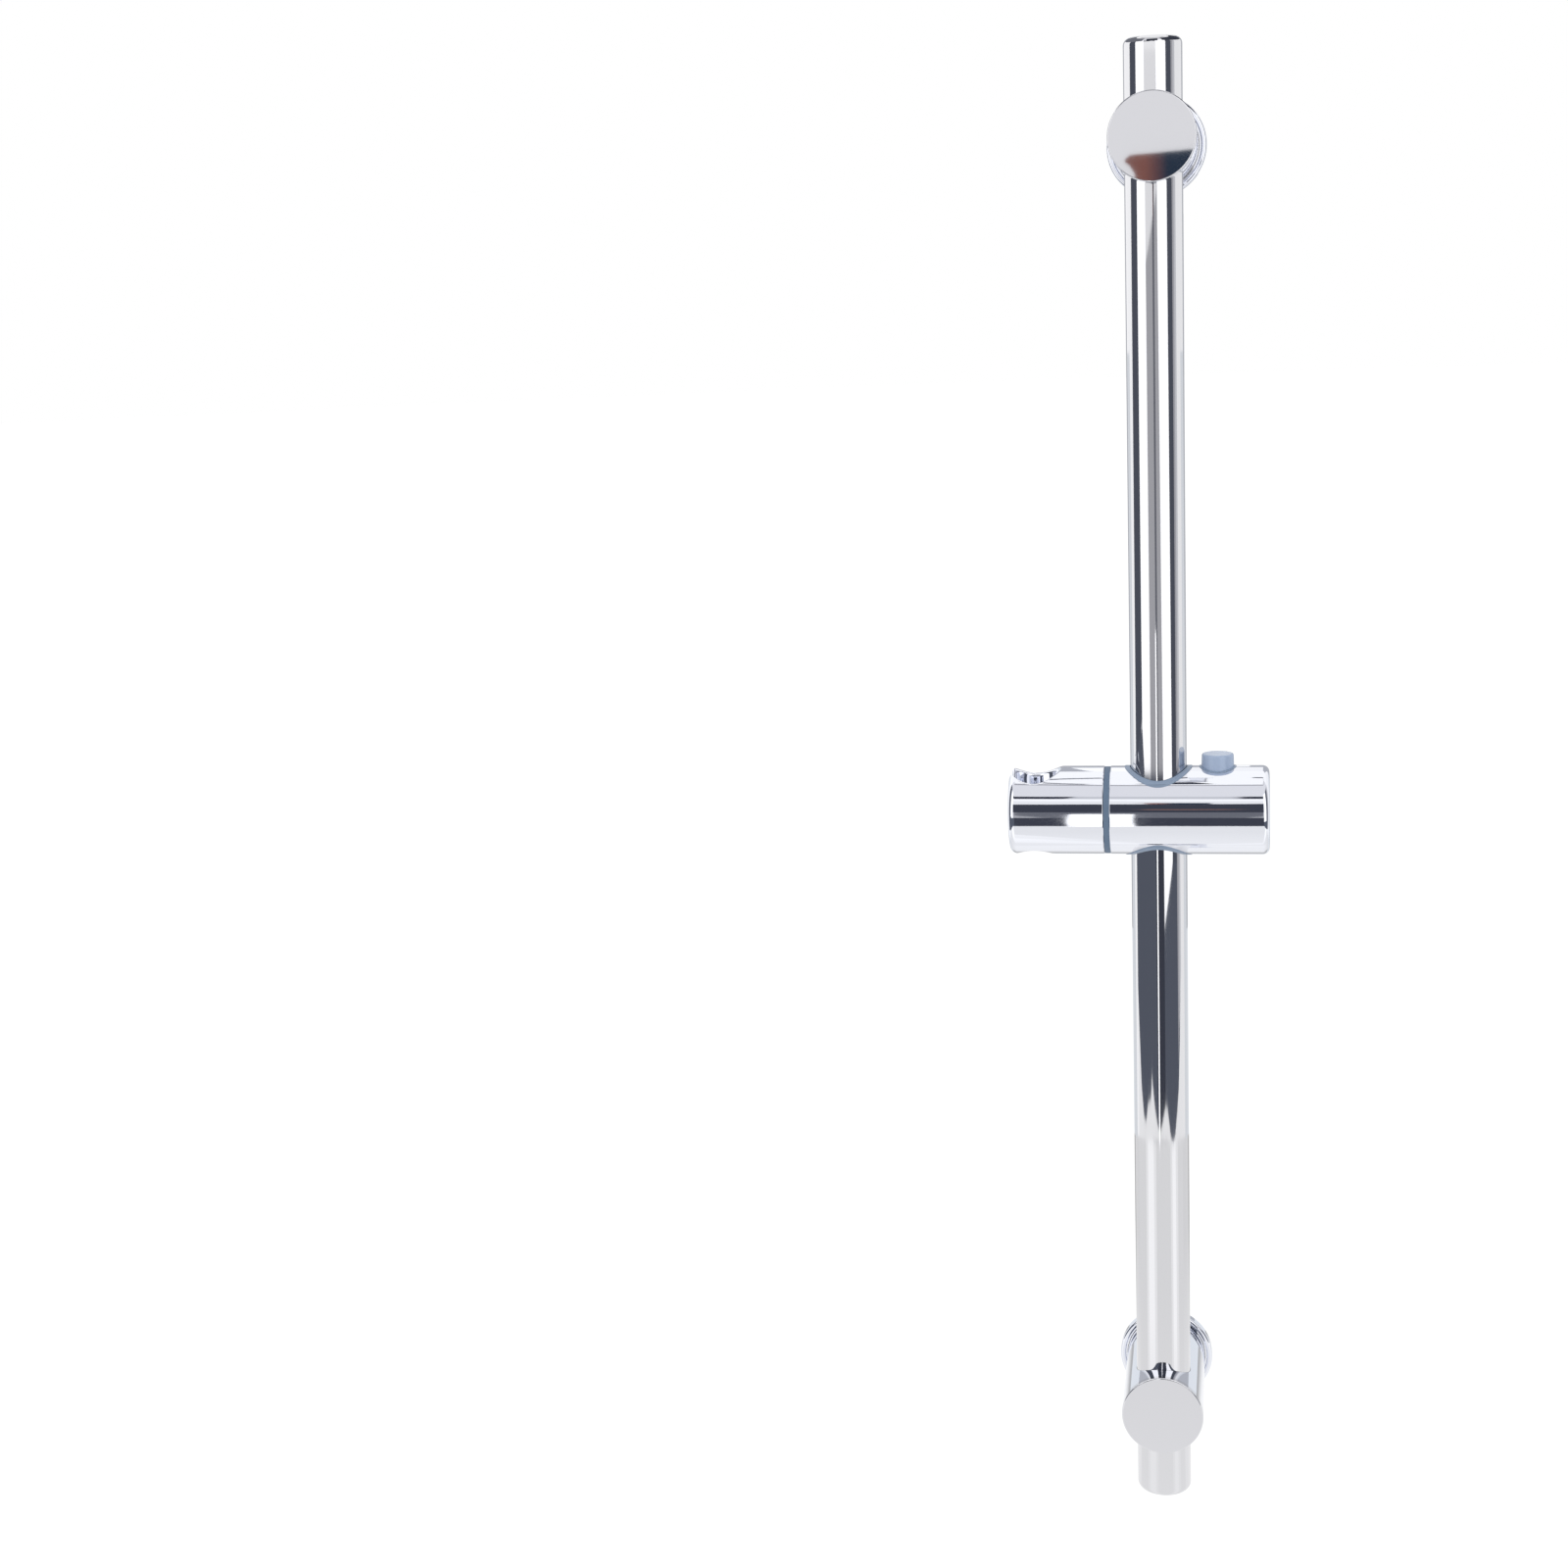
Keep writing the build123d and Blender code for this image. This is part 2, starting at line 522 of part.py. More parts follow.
def brake_slot():
    """The slanted slot that turns the pin's way down into the shoe's way off the tube."""
    run = hypot(BRAKE_TRAVEL, BUTTON_TRAVEL)
    width = PIN_OD + 2 * SEAT
    slot = SlotCenterToCenter(run + 2 * SEAT, width)
    angle = degrees(atan2(BUTTON_TRAVEL, BRAKE_TRAVEL))
    upright = Plane.XZ * (Rot(0, 0, angle) * slot)
    cutter = extrude(upright, SHOE_WIDTH, both=True)
    return Pos(BUTTON_TO_TUBE - BRAKE_TRAVEL / 2, 0, -BUTTON_TRAVEL / 2) * cutter


def brake_shoe():
    """The sliding shoe: a hollowed head for the pad, a slotted body and a spigot for the spring."""
    half_z = SHOE_HEIGHT / 2
    pad_back = TUBE_R + RUNNING + PAD_THICKNESS + SEAT / 2
    half_head = SHOE_HEAD_WIDTH / 2
    shoe = block(TUBE_R, SHOE_RIGHT, -SHOE_WIDTH / 2, SHOE_WIDTH / 2, -half_z, half_z)
    head = block(0, pad_back + SHOE_HEAD_DEPTH, -half_head, half_head, -half_z, half_z)
    head -= block(0, PAD_START, -SHOE_HEAD_WIDTH, SHOE_HEAD_WIDTH, -SHOE_HEIGHT, SHOE_HEIGHT)
    shoe += head
    shoe -= rod_z(pad_back, -SHOE_HEIGHT, SHOE_HEIGHT)
    shoe += rod_x(SPRING_OD / 2 - SPRING_WIRE - SEAT, SHOE_RIGHT, SHOE_RIGHT + SHOE_SPIGOT)
    return shoe - brake_slot()


def brake_pad():
    """The curved lining that grips the tube."""
    inner = TUBE_R + RUNNING
    half_z = SHOE_HEIGHT / 2
    ring = rod_z(inner + PAD_THICKNESS, -half_z, half_z) - rod_z(inner, -half_z - PAST, half_z + PAST)
    reach = SHOE_HEAD_WIDTH / 2 - SEAT
    return ring & block(PAD_START, SLIDER_R, -reach, reach, -half_z, half_z)


def brake_spring():
    """The compression spring behind the shoe."""
    coil_r = SPRING_OD / 2 - SPRING_WIRE / 2
    rise = SPRING_LENGTH - SPRING_WIRE
    path = Helix(rise / SPRING_TURNS, rise, coil_r)
    section = Plane(path @ 0, z_dir=path % 0) * Circle(SPRING_WIRE / 2)
    coil = sweep(section, path)
    start = SHOE_RIGHT + SEAT / 2 + SPRING_WIRE / 2
    return Pos(start, 0, 0) * Rot(0, 90, 0) * coil


def on_slider(shape):
    return Pos(0, -TUBE_TO_WALL, SLIDER_Z) * shape


def upside_down(shape):
    return Rot(180, 0, 0) * shape


nodes = {"rail_tube": rail_tube()}
cap = end_cap()
nodes["upper_end_cap"] = Pos(0, -TUBE_TO_WALL, RAIL_TOP - CAP_HEIGHT) * cap
nodes["lower_end_cap"] = Pos(0, -TUBE_TO_WALL, RAIL_BOTTOM + CAP_HEIGHT) * upside_down(cap)

bracket_pieces = {
    "post": post(),
    "face_cap": face_cap(),
    "rosette": rosette(),
    "rosette_seal": rosette_seal(),
    "wall_plate": wall_plate(),
    "grub_screw": grub_screw(),
    "clamp_screw": clamp_screw(),
}
for bracket, height in BRACKET_Z.items():
    for piece, shape in bracket_pieces.items():
        nodes[f"{bracket}_{piece}"] = Pos(0, 0, height) * shape

bush = rail_bush()
ring = glide_ring()
slider_pieces = {
    "slider_shell": slider_shell(),
    "upper_rail_bush": bush,
    "lower_rail_bush": upside_down(bush),
    "upper_glide_ring": ring,
    "lower_glide_ring": upside_down(ring),
    "slider_core": slider_core(),
    "swivel_stud": swivel_stud(),
    "swivel_ring": swivel_ring(),
    "swivel_washer": swivel_washer(),
    "swivel_screw": swivel_screw(),
    "handset_socket": handset_socket(),
    "button_guide": button_guide(),
    "push_button": push_button(),
    "button_pin": button_pin(),
    "brake_shoe": brake_shoe(),
    "brake_pad": brake_pad(),
    "brake_spring": brake_spring(),
}
for name, shape in slider_pieces.items():
    nodes[name] = on_slider(shape)

os.makedirs("parts", exist_ok=True)
for name, shape in nodes.items():
    export_step(shape, f"parts/{name}.step")
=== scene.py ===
# %% [markdown]
# A shower slide rail: a polished steel tube on two chromed wall brackets, with a chromed slider that
# holds a handset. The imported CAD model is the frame. It says where every piece is, and how big, so
# nothing here is placed by eye.

# %% Load the frame
from math import cos, pi, radians, sin

import bmesh
import bpy
import numpy as np
from mathutils import Matrix, Vector


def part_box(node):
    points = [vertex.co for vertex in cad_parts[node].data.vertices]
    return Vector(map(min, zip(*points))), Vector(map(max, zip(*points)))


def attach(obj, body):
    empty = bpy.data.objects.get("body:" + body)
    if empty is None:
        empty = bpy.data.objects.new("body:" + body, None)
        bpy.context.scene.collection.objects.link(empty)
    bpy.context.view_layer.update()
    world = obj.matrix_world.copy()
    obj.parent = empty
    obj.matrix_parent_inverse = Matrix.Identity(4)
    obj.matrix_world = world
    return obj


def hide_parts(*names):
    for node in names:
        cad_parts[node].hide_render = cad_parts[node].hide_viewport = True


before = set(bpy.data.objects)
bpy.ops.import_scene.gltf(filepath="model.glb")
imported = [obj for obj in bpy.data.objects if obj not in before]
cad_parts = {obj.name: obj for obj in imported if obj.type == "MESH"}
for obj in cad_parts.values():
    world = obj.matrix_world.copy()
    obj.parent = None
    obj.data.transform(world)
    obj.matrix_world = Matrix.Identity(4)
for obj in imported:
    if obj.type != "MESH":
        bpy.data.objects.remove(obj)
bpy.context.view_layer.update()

MM = 0.001

# %% [markdown]
# Places are read from the frame's boxes, in millimetres. Every round piece is then turned about one of
# three axes: the tube's upright axis, a bracket's axis out of the wall, or the slider's axis from left to
# right.

# %% Measure the pieces
def span(node, axis):
    """Lowest and highest place of a CAD node along X, Y or Z, in mm."""
    low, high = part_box(node)
    index = "XYZ".index(axis)
    return low[index] / MM, high[index] / MM


def middle(node, axis):
    return sum(span(node, axis)) / 2


def size(node, axis):
    low, high = span(node, axis)
    return high - low


TUBE_Y = middle("rail_tube", "Y")
TUBE_R = size("rail_tube", "X") / 2
POST_R = size("upper_post", "X") / 2
SLIDER_R = size("slider_shell", "Z") / 2
SLIDER_Z = middle("slider_shell", "Z")
BRACKET_Z = {side: middle(f"{side}_post", "Z") for side in ("upper", "lower")}
print("tube radius", round(TUBE_R, 2), "post radius", round(POST_R, 2), "slider radius", round(SLIDER_R, 2))

# %% [markdown]
# Nearly every piece of this rail comes off a lathe. A lathe in Blender is bmesh.ops.spin: half an outline
# goes once round an axis. 192 steps keep the rim of the widest piece round to a few thousandths of a
# millimetre.

# %% A lathe
STEPS = 192
RIM_SEGMENTS = 8
ALONG = {
    "X": Matrix.Rotation(pi / 2, 4, "Y"),
    "-Y": Matrix.Rotation(pi / 2, 4, "X"),
    "Z": Matrix.Identity(4),
}


def on_rim(edge, radius, place):
    """True for an edge of the ring at that radius and place of a piece still upright on the lathe, in mm."""
    return all(
        abs(v.co.xy.length / MM - radius) < 1e-3 and abs(v.co.z / MM - place) < 1e-3 for v in edge.verts
    )


def turn(name, outline, axis, centre, rims=(), steps=STEPS):
    """Turns half an outline of (radius, place) points in mm about an axis, and rounds the named rims of it.
    A rim is (radius, place, how far its rounding reaches)."""
    lathe = bmesh.new()
    points = [lathe.verts.new((radius * MM, 0, place * MM)) for radius, place in outline]
    closed = outline[0][0] > 0
    following = points[1:] + points[:1] if closed else points[1:]
    edges = [lathe.edges.new(pair) for pair in zip(points, following)]
    bmesh.ops.spin(
        lathe, geom=points + edges, cent=(0, 0, 0), axis=(0, 0, 1), angle=2 * pi, steps=steps, use_merge=True
    )
    bmesh.ops.remove_doubles(lathe, verts=lathe.verts[:], dist=1e-7)
    bmesh.ops.recalc_face_normals(lathe, faces=lathe.faces[:])
    for radius, place, reach in rims:
        rim = [e for e in lathe.edges if on_rim(e, radius, place)]
        bmesh.ops.bevel(
            lathe, geom=rim, offset=reach * MM, offset_type="OFFSET", segments=RIM_SEGMENTS,
            profile=0.5, affect="EDGES", material=-1,
        )
    lathe.transform(Matrix.Translation(Vector(centre) * MM) @ ALONG[axis])
    mesh = bpy.data.meshes.new(name)
    lathe.to_mesh(mesh)
    lathe.free()
    piece = bpy.data.objects.new(name, mesh)
    bpy.context.scene.collection.objects.link(piece)
    return piece


# %% [markdown]
# Holes that cross a turned piece are cut by a Boolean with an exact solver. The result is kept at once,
# so that the piece is plain mesh when its shading is settled.

# %% A drill
# A drill comes out this far past the surface that it breaks through.
THROUGH = 1.0


def cut(piece, tool, operation="DIFFERENCE"):
    """Cuts a piece with a tool solid, or keeps what both share, and throws the tool away."""
    step = piece.modifiers.new("cut", "BOOLEAN")
    step.object = tool
    step.operation = operation
    step.solver = "EXACT"
    bpy.context.view_layer.update()
    seen = piece.evaluated_get(bpy.context.evaluated_depsgraph_get())
    mesh = bpy.data.meshes.new_from_object(seen)
    piece.modifiers.clear()
    piece.data = mesh
    bpy.data.objects.remove(tool)
    return piece


def bar(radius, axis, centre, start, end):
    """A plain round bar between two places along its axis, in mm, as a cutting tool."""
    return turn("tool", [(0, start), (radius, start), (radius, end), (0, end)], axis, centre)


# %% [markdown]
# Chrome is a mirror, and a mirror shows every fault of its normals. Smooth shading averages the faces
# round a corner, so a bevel or a hole tilts the normals of the large faces beside it, and reflections
# swim there. The cure is to write the true normal of the real surface at each corner that lies on a
# cylinder, a flat or a rounded rim.

# %% True normals
def local(points, axis, centre):
    """Points seen from a turned piece's own upright frame, in mm, with the turn that leads there."""
    turned = np.array(ALONG[axis].to_3x3())
    return (points / MM - np.array(centre)) @ turned, turned


def cylinder(axis, centre, radius):
    def surface(points):
        own, turned = local(points, axis, centre)
        out = own * (1, 1, 0)
        length = np.linalg.norm(out, axis=1)
        return length - radius, (out / np.maximum(length, 1e-9)[:, None]) @ turned.T
    return surface


def flat(axis, place):
    def surface(points):
        own, turned = local(points, axis, (0, 0, 0))
        normal = np.zeros_like(own)
        normal[:, 2] = 1
        return own[:, 2] - place, normal @ turned.T
    return surface


def rounded_rim(axis, centre, radius, place, rounding):
    """The quarter round whose middle runs on a circle of that radius at that place along the axis."""
    def surface(points):
        own, turned = local(points, axis, centre)
        length = np.linalg.norm(own[:, :2], axis=1)
        ring = own * (1, 1, 0) * (radius / np.maximum(length, 1e-9))[:, None]
        ring[:, 2] = place
        out = own - ring
        far = np.linalg.norm(out, axis=1)
        return far - rounding, (out / np.maximum(far, 1e-9)[:, None]) @ turned.T
    return surface


def settle_normals(piece, *surfaces, sharp=30, near=0.006, agree=14, face_agree=50):
    """Shades a piece smooth up to the sharp angle, then gives each corner near a true surface that surface's
    normal. A face that lies on the surface as a whole may lean further from it, where a rounding beside it
    pulls at it."""
    mesh = piece.data
    mesh.shade_smooth()
    mesh.set_sharp_from_angle(angle=radians(sharp))
    normals = np.empty(len(mesh.loops) * 3)
    mesh.corner_normals.foreach_get("vector", normals)
    normals = normals.reshape(-1, 3)
    places = np.empty(len(mesh.vertices) * 3)
    mesh.vertices.foreach_get("co", places)
    corners = np.empty(len(mesh.loops), int)
    mesh.loops.foreach_get("vertex_index", corners)
    points = places.reshape(-1, 3)[corners]
    first = np.empty(len(mesh.polygons), int)
    mesh.polygons.foreach_get("loop_start", first)
    count = np.diff(first, append=len(corners))
    settled = np.zeros(len(corners), bool)
    for surface in surfaces:
        distance, true = surface(points)
        along = (true * normals).sum(axis=1)
        close = abs(distance) < near
        whole = np.repeat(np.logical_and.reduceat(close, first), count)
        hit = close & (abs(along) > np.where(whole, cos(radians(face_agree)), cos(radians(agree))))
        normals[hit] = true[hit] * np.sign(along[hit])[:, None]
        settled |= hit
    mesh.normals_split_custom_set(normals)
    share = f"{settled.sum()} of {len(settled)} corners on true surfaces"
    print(f"{piece.name}: {len(mesh.polygons)} faces, {share}")


# %% [markdown]
# One small function adds a shader node, sets its values and links its inputs. Colours are written as the
# sRGB hex values that a paint chart gives, and one function turns them into the linear numbers that
# Blender works with.

# %% Nodes and colours
def linear(code):
    """An sRGB hex colour as linear red, green, blue and alpha."""
    parts = [int(code[i:i + 2], 16) / 255 for i in (0, 2, 4)]
    return [c / 12.92 if c <= 0.04045 else ((c + 0.055) / 1.055) ** 2.4 for c in parts] + [1.0]


def add(tree, kind, inputs=None, **settings):
    """Adds a node. An input that is a socket is linked, and any other is set."""
    node = tree.nodes.new(kind)
    for name, value in settings.items():
        setattr(node, name, value)
    for name, value in (inputs or {}).items():
        if isinstance(value, bpy.types.NodeSocket):
            tree.links.new(value, node.inputs[name])
        else:
            node.inputs[name].default_value = value
    return node


def new_material(name):
    """An empty material, with its node tree and its output node."""
    material = bpy.data.materials.new(name)
    material.use_nodes = True
    material.node_tree.nodes.clear()
    return material, material.node_tree


def per_mm(millimetres):
    """Noise scale that gives features of about that size, since a noise cell is one unit at scale 1."""
    return 1 / (millimetres * MM)


# %% [markdown]
# Polished stainless steel tube, 304 grade, is drawn and then polished along its length. It mirrors almost
# as well as chrome, but its reflections are a little soft, and very faint streaks run along it. Noise
# stretched a hundred times along Z gives those streaks, in roughness and in a bump of about a thousandth
# of a millimetre.

# %% Stainless steel, polished
def streaked_steel():
    material, tree = new_material("stainless steel, polished lengthwise")
    place = add(tree, "ShaderNodeTexCoord").outputs["Object"]
    stretched = add(tree, "ShaderNodeMapping", {"Vector": place, "Scale": (1, 1, 0.01)}).outputs["Vector"]
    streak = add(tree, "ShaderNodeTexNoise", {
        "Vector": stretched, "Scale": per_mm(1.2), "Detail": 3,
    }).outputs["Fac"]
    cloud = add(tree, "ShaderNodeTexNoise", {
        "Vector": place, "Scale": per_mm(25), "Detail": 2,
    }).outputs["Fac"]
    both = add(tree, "ShaderNodeMath", {0: streak, 1: cloud}, operation="MULTIPLY").outputs[0]
    rough = add(tree, "ShaderNodeMapRange", {
        "Value": both, "From Max": 0.5, "To Min": 0.03, "To Max": 0.07,
    })
    bump = add(tree, "ShaderNodeBump", {"Height": streak, "Strength": 0.06, "Distance": 0.02 * MM})
    metal = add(tree, "ShaderNodeBsdfPrincipled", {
        "Base Color": linear("DDDDE0"),
        "Metallic": 1.0,
        "Roughness": rough.outputs["Result"],
        "Normal": bump.outputs["Normal"],
    })
    add(tree, "ShaderNodeOutputMaterial", {"Surface": metal.outputs["BSDF"]})
    return material


steel = streaked_steel()
print("made", steel.name)

# %% [markdown]
# Bright chrome plate over polished brass or plastic is the clearest mirror on the object. It is a touch
# blue beside steel. Plating is never quite flat: waves a centimetre or two long and less than a hair deep
# let straight reflections wander.

# %% Chrome plate, bright
CHROME = "EBEDF4"
DISC = "DDDDE1"


def bright_chrome():
    material, tree = new_material("chrome plate, bright")
    place = add(tree, "ShaderNodeTexCoord").outputs["Object"]
    wave = add(tree, "ShaderNodeTexNoise", {
        "Vector": place, "Scale": per_mm(16), "Detail": 1,
    }).outputs["Fac"]
    haze = add(tree, "ShaderNodeTexNoise", {
        "Vector": place, "Scale": per_mm(5), "Detail": 4,
    }).outputs["Fac"]
    rough = add(tree, "ShaderNodeMapRange", {"Value": haze, "To Min": 0.02, "To Max": 0.06})
    bump = add(tree, "ShaderNodeBump", {"Height": wave, "Strength": 0.10, "Distance": 0.25 * MM})
    metal = add(tree, "ShaderNodeBsdfPrincipled", {
        "Base Color": linear(CHROME),
        "Metallic": 1.0,
        "Roughness": rough.outputs["Result"],
        "Normal": bump.outputs["Normal"],
    })
    add(tree, "ShaderNodeOutputMaterial", {"Surface": metal.outputs["BSDF"]})
    return material


chrome = bright_chrome()
print("made", chrome.name)

# %% [markdown]
# The front of each bracket was faced on a lathe before it was plated, and fine rings about its middle
# still show through the chrome. Real rings lie about 0.1 mm apart, which no pixel can show, so they are
# drawn 5.65 mm apart, and very faint. A Mapping node moves the rings' middle to the bracket's own axis.

# %% Chrome plate over a faced disc
# A wave texture's sine turns once in 2 pi / 20 units at scale 1.
RING_PITCH = 1.8 * pi


def faced_chrome(side):
    material, tree = new_material(f"chrome plate over a faced disc, {side}")
    place = add(tree, "ShaderNodeTexCoord").outputs["Object"]
    centred = add(tree, "ShaderNodeMapping", {"Vector": place, "Location": (0, 0, -BRACKET_Z[side] * MM)})
    rings = add(tree, "ShaderNodeTexWave", {
        "Vector": centred.outputs["Vector"],
        "Scale": 2 * pi / (20 * RING_PITCH * MM),
        "Distortion": 0.0,
    }, wave_type="RINGS", rings_direction="Y")
    bump = add(tree, "ShaderNodeBump", {
        "Height": rings.outputs["Fac"], "Strength": 0.006, "Distance": 0.02 * MM,
    })
    metal = add(tree, "ShaderNodeBsdfPrincipled", {
        "Base Color": linear(DISC),
        "Metallic": 1.0,
        "Roughness": 0.03,
        "Normal": bump.outputs["Normal"],
    })
    add(tree, "ShaderNodeOutputMaterial", {"Surface": metal.outputs["BSDF"]})
    return material


faced = {side: faced_chrome(side) for side in BRACKET_Z}
print("made", [m.name for m in faced.values()])

# %% [markdown]
# The bushes, the swivel ring and the button are moulded in acetal, a slippery plastic, coloured
# blue-grey. A mould with a fine spark-eroded grain gives it a satin skin: grain about 0.3 mm across, and
# colour that drifts a little where the plastic flowed. The button's copy of it is lighter, as painted
# light, and the swivel ring's copy is darker, as painted shade.

# %% Acetal, moulded satin
def moulded(name, code, roughness, grain, depth, drift=0.06, shine=0.5):
    """A moulded plastic or rubber: a colour that drifts a little, and a fine grain with its size and depth
    in mm."""
    material, tree = new_material(name)
    place = add(tree, "ShaderNodeTexCoord").outputs["Object"]
    flow = add(tree, "ShaderNodeTexNoise", {
        "Vector": place, "Scale": per_mm(9), "Detail": 2,
    }).outputs["Fac"]
    skin = add(tree, "ShaderNodeTexNoise", {
        "Vector": place, "Scale": per_mm(grain), "Detail": 2,
    }).outputs["Fac"]
    value = add(tree, "ShaderNodeMapRange", {"Value": flow, "To Min": 1 - drift, "To Max": 1 + drift})
    colour = add(tree, "ShaderNodeHueSaturation", {"Color": linear(code), "Value": value.outputs["Result"]})
    rough = add(tree, "ShaderNodeMapRange", {
        "Value": skin, "To Min": roughness - 0.05, "To Max": roughness + 0.05,
    })
    bump = add(tree, "ShaderNodeBump", {"Height": skin, "Strength": 0.25, "Distance": depth * MM})
    plastic = add(tree, "ShaderNodeBsdfPrincipled", {
        "Base Color": colour.outputs["Color"],
        "Roughness": rough.outputs["Result"],
        "IOR": 1.48,
        "Specular IOR Level": shine,
        "Normal": bump.outputs["Normal"],
    })
    add(tree, "ShaderNodeOutputMaterial", {"Surface": plastic.outputs["BSDF"]})
    return material


# The button's copy is lighter than the acetal of the bushes: painted light for its lit side and top.
button_acetal_painted_light = moulded("acetal, moulded satin blue", "A6B7D2", 0.22, 0.3, 0.01)
acetal = moulded("acetal, moulded satin blue-grey", "8A9CB4", 0.28, 0.3, 0.01)
# The swivel ring's copy is darker than the acetal of the bushes: painted shade in its recess.
ring_acetal_painted_shade = moulded("acetal, dull blue-grey darkened as painted shade", "667A92", 0.45, 0.3, 0.01, shine=0.2)
core_plastic = moulded("glass-filled nylon, moulded black", "232528", 0.50, 0.4, 0.02, 0.12)
nylon = moulded("nylon, moulded natural", "E8E2D0", 0.38, 0.3, 0.01)
rubber = moulded("nitrile rubber, moulded black", "1D1E20", 0.72, 0.5, 0.03, 0.10)
print("made", [m.name for m in (button_acetal_painted_light, acetal, ring_acetal_painted_shade, core_plastic, nylon, rubber)])

# %% [markdown]
# The metal inside is plainer. The wall plates are cast zinc, with the dull, pebbled skin of a die. The
# swivel stud is brass off a lathe, and screws, pin and spring are bright steel wire and bar, with fine
# tool marks.

# %% Cast, turned and drawn metal
def plain_metal(name, code, roughness, grain, depth):
    """A bare metal with a skin whose marks have a size and depth in mm."""
    material, tree = new_material(name)
    place = add(tree, "ShaderNodeTexCoord").outputs["Object"]
    skin = add(tree, "ShaderNodeTexNoise", {
        "Vector": place, "Scale": per_mm(grain), "Detail": 4,
    }).outputs["Fac"]
    rough = add(tree, "ShaderNodeMapRange", {
        "Value": skin, "To Min": roughness * 0.7, "To Max": roughness * 1.3,
    })
    bump = add(tree, "ShaderNodeBump", {"Height": skin, "Strength": 0.3, "Distance": depth * MM})
    metal = add(tree, "ShaderNodeBsdfPrincipled", {
        "Base Color": linear(code),
        "Metallic": 1.0,
        "Roughness": rough.outputs["Result"],
        "Normal": bump.outputs["Normal"],
    })
    add(tree, "ShaderNodeOutputMaterial", {"Surface": metal.outputs["BSDF"]})
    return material


zinc = plain_metal("zinc alloy, die-cast", "B4B7BB", 0.45, 0.8, 0.03)
brass = plain_metal("brass, turned", "D9B56C", 0.28, 0.3, 0.01)
bright_steel = plain_metal("steel, bright drawn", "B9BBBF", 0.25, 0.3, 0.01)
print("made", [m.name for m in (zinc, brass, bright_steel)])

# %% [markdown]
# The record names a finish for every CAD node. Nodes that stay in the picture, mostly inside the slider
# and the brackets, take the finish that belongs to their slot.

# %% Dress the CAD nodes that stay
FINISH = {
    "polished_stainless": steel,
    "bright_chrome": chrome,
    "blue_grey_plastic": acetal,
    "black_core_plastic": core_plastic,
    "natural_nylon": nylon,
    "zinc_alloy": zinc,
    "stud_brass": brass,
    "plain_steel": bright_steel,
    "black_rubber": rubber,
}
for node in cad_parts.values():
    for held in node.material_slots:
        held.material = FINISH[held.material.name]
print("dressed", len(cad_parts), "nodes")


def place_piece(piece, body, node, material):
    """Puts a finished piece in a CAD node's place: its body and its material."""
    piece.data.materials.clear()
    piece.data.materials.append(material)
    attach(piece, body)
    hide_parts(node)


# %% [markdown]
# The tube is the plainest piece and the most looked at. Its CAD mesh has few facets, which a mirror would
# show, so it is turned again with 192 steps, as a wall with a real inside.

# %% The tube
TUBE_WALL = 1.0
low, high = span("rail_tube", "Z")
tube_centre = (0, TUBE_Y, 0)
tube = turn(
    "steel_tube",
    [(TUBE_R - TUBE_WALL, low), (TUBE_R, low), (TUBE_R, high), (TUBE_R - TUBE_WALL, high)],
    "Z", tube_centre,
)
settle_normals(tube, cylinder("Z", tube_centre, TUBE_R), cylinder("Z", tube_centre, TUBE_R - TUBE_WALL))
place_piece(tube, "rail", "rail_tube", steel)
print("tube", round(high - low, 1), "mm long")

# %% [markdown]
# A cap closes each end. Its shoulder is a true quarter round, and its plug with three ribs goes down the
# tube. The lower cap is the same outline, mirrored.

# %% The end caps
CAP_HEIGHT = 4.0
CAP_EDGE = 3.2
PLUG_R = 11.2
RIB_R = 11.45
PLUG_WALL = 1.8
PLUG_LENGTH = 12.0
RIBS = 3
RIB_HALF = 0.7


def cap_outline():
    """Half outline of the upper cap, from the middle of its top, with the tube's end at place 0."""
    points = [(0, CAP_HEIGHT), (TUBE_R, CAP_HEIGHT), (TUBE_R, 0), (PLUG_R, 0)]
    pitch = PLUG_LENGTH / (RIBS + 0.5)
    for i in range(RIBS):
        rib = -pitch * (i + 0.75)
        points += [(PLUG_R, rib + RIB_HALF), (RIB_R, rib + RIB_HALF)]
        points += [(RIB_R, rib - RIB_HALF), (PLUG_R, rib - RIB_HALF)]
    points += [(PLUG_R, -PLUG_LENGTH), (PLUG_R - PLUG_WALL, -PLUG_LENGTH), (PLUG_R - PLUG_WALL, 0), (0, 0)]
    return points


for side, facing in (("upper", 1), ("lower", -1)):
    node = f"{side}_end_cap"
    seat = span("rail_tube", "Z")[(facing + 1) // 2]
    outline = [(radius, seat + facing * place) for radius, place in cap_outline()]
    top = seat + facing * CAP_HEIGHT
    cap = turn(f"{side}_cap", outline, "Z", tube_centre, rims=[(TUBE_R, top, CAP_EDGE)])
    settle_normals(
        cap,
        cylinder("Z", tube_centre, TUBE_R),
        flat("Z", top),
        rounded_rim("Z", tube_centre, TUBE_R - CAP_EDGE, top - facing * CAP_EDGE, CAP_EDGE),
    )
    place_piece(cap, "rail", node, steel)

# %% [markdown]
# A post is a turned bush, bored across for the tube and hollow from the wall. The bore is cut by a round
# bar with a radius a tenth of a millimetre over the tube's, and a small hole below takes the grub screw
# that locks post to plate.

# %% The posts
POST_WALL = 3.5
SEAT = 0.1
FRONT = -span("upper_post", "Y")[0]
HOLLOW_R = POST_R - POST_WALL
WEB = 4.0
HOLLOW_DEPTH = -TUBE_Y - TUBE_R - SEAT - WEB
HOLLOW_CHAMFER = 2.0
RECESS = 2.7
GRUB_R = 2.0
GRUB_Y = -8.0

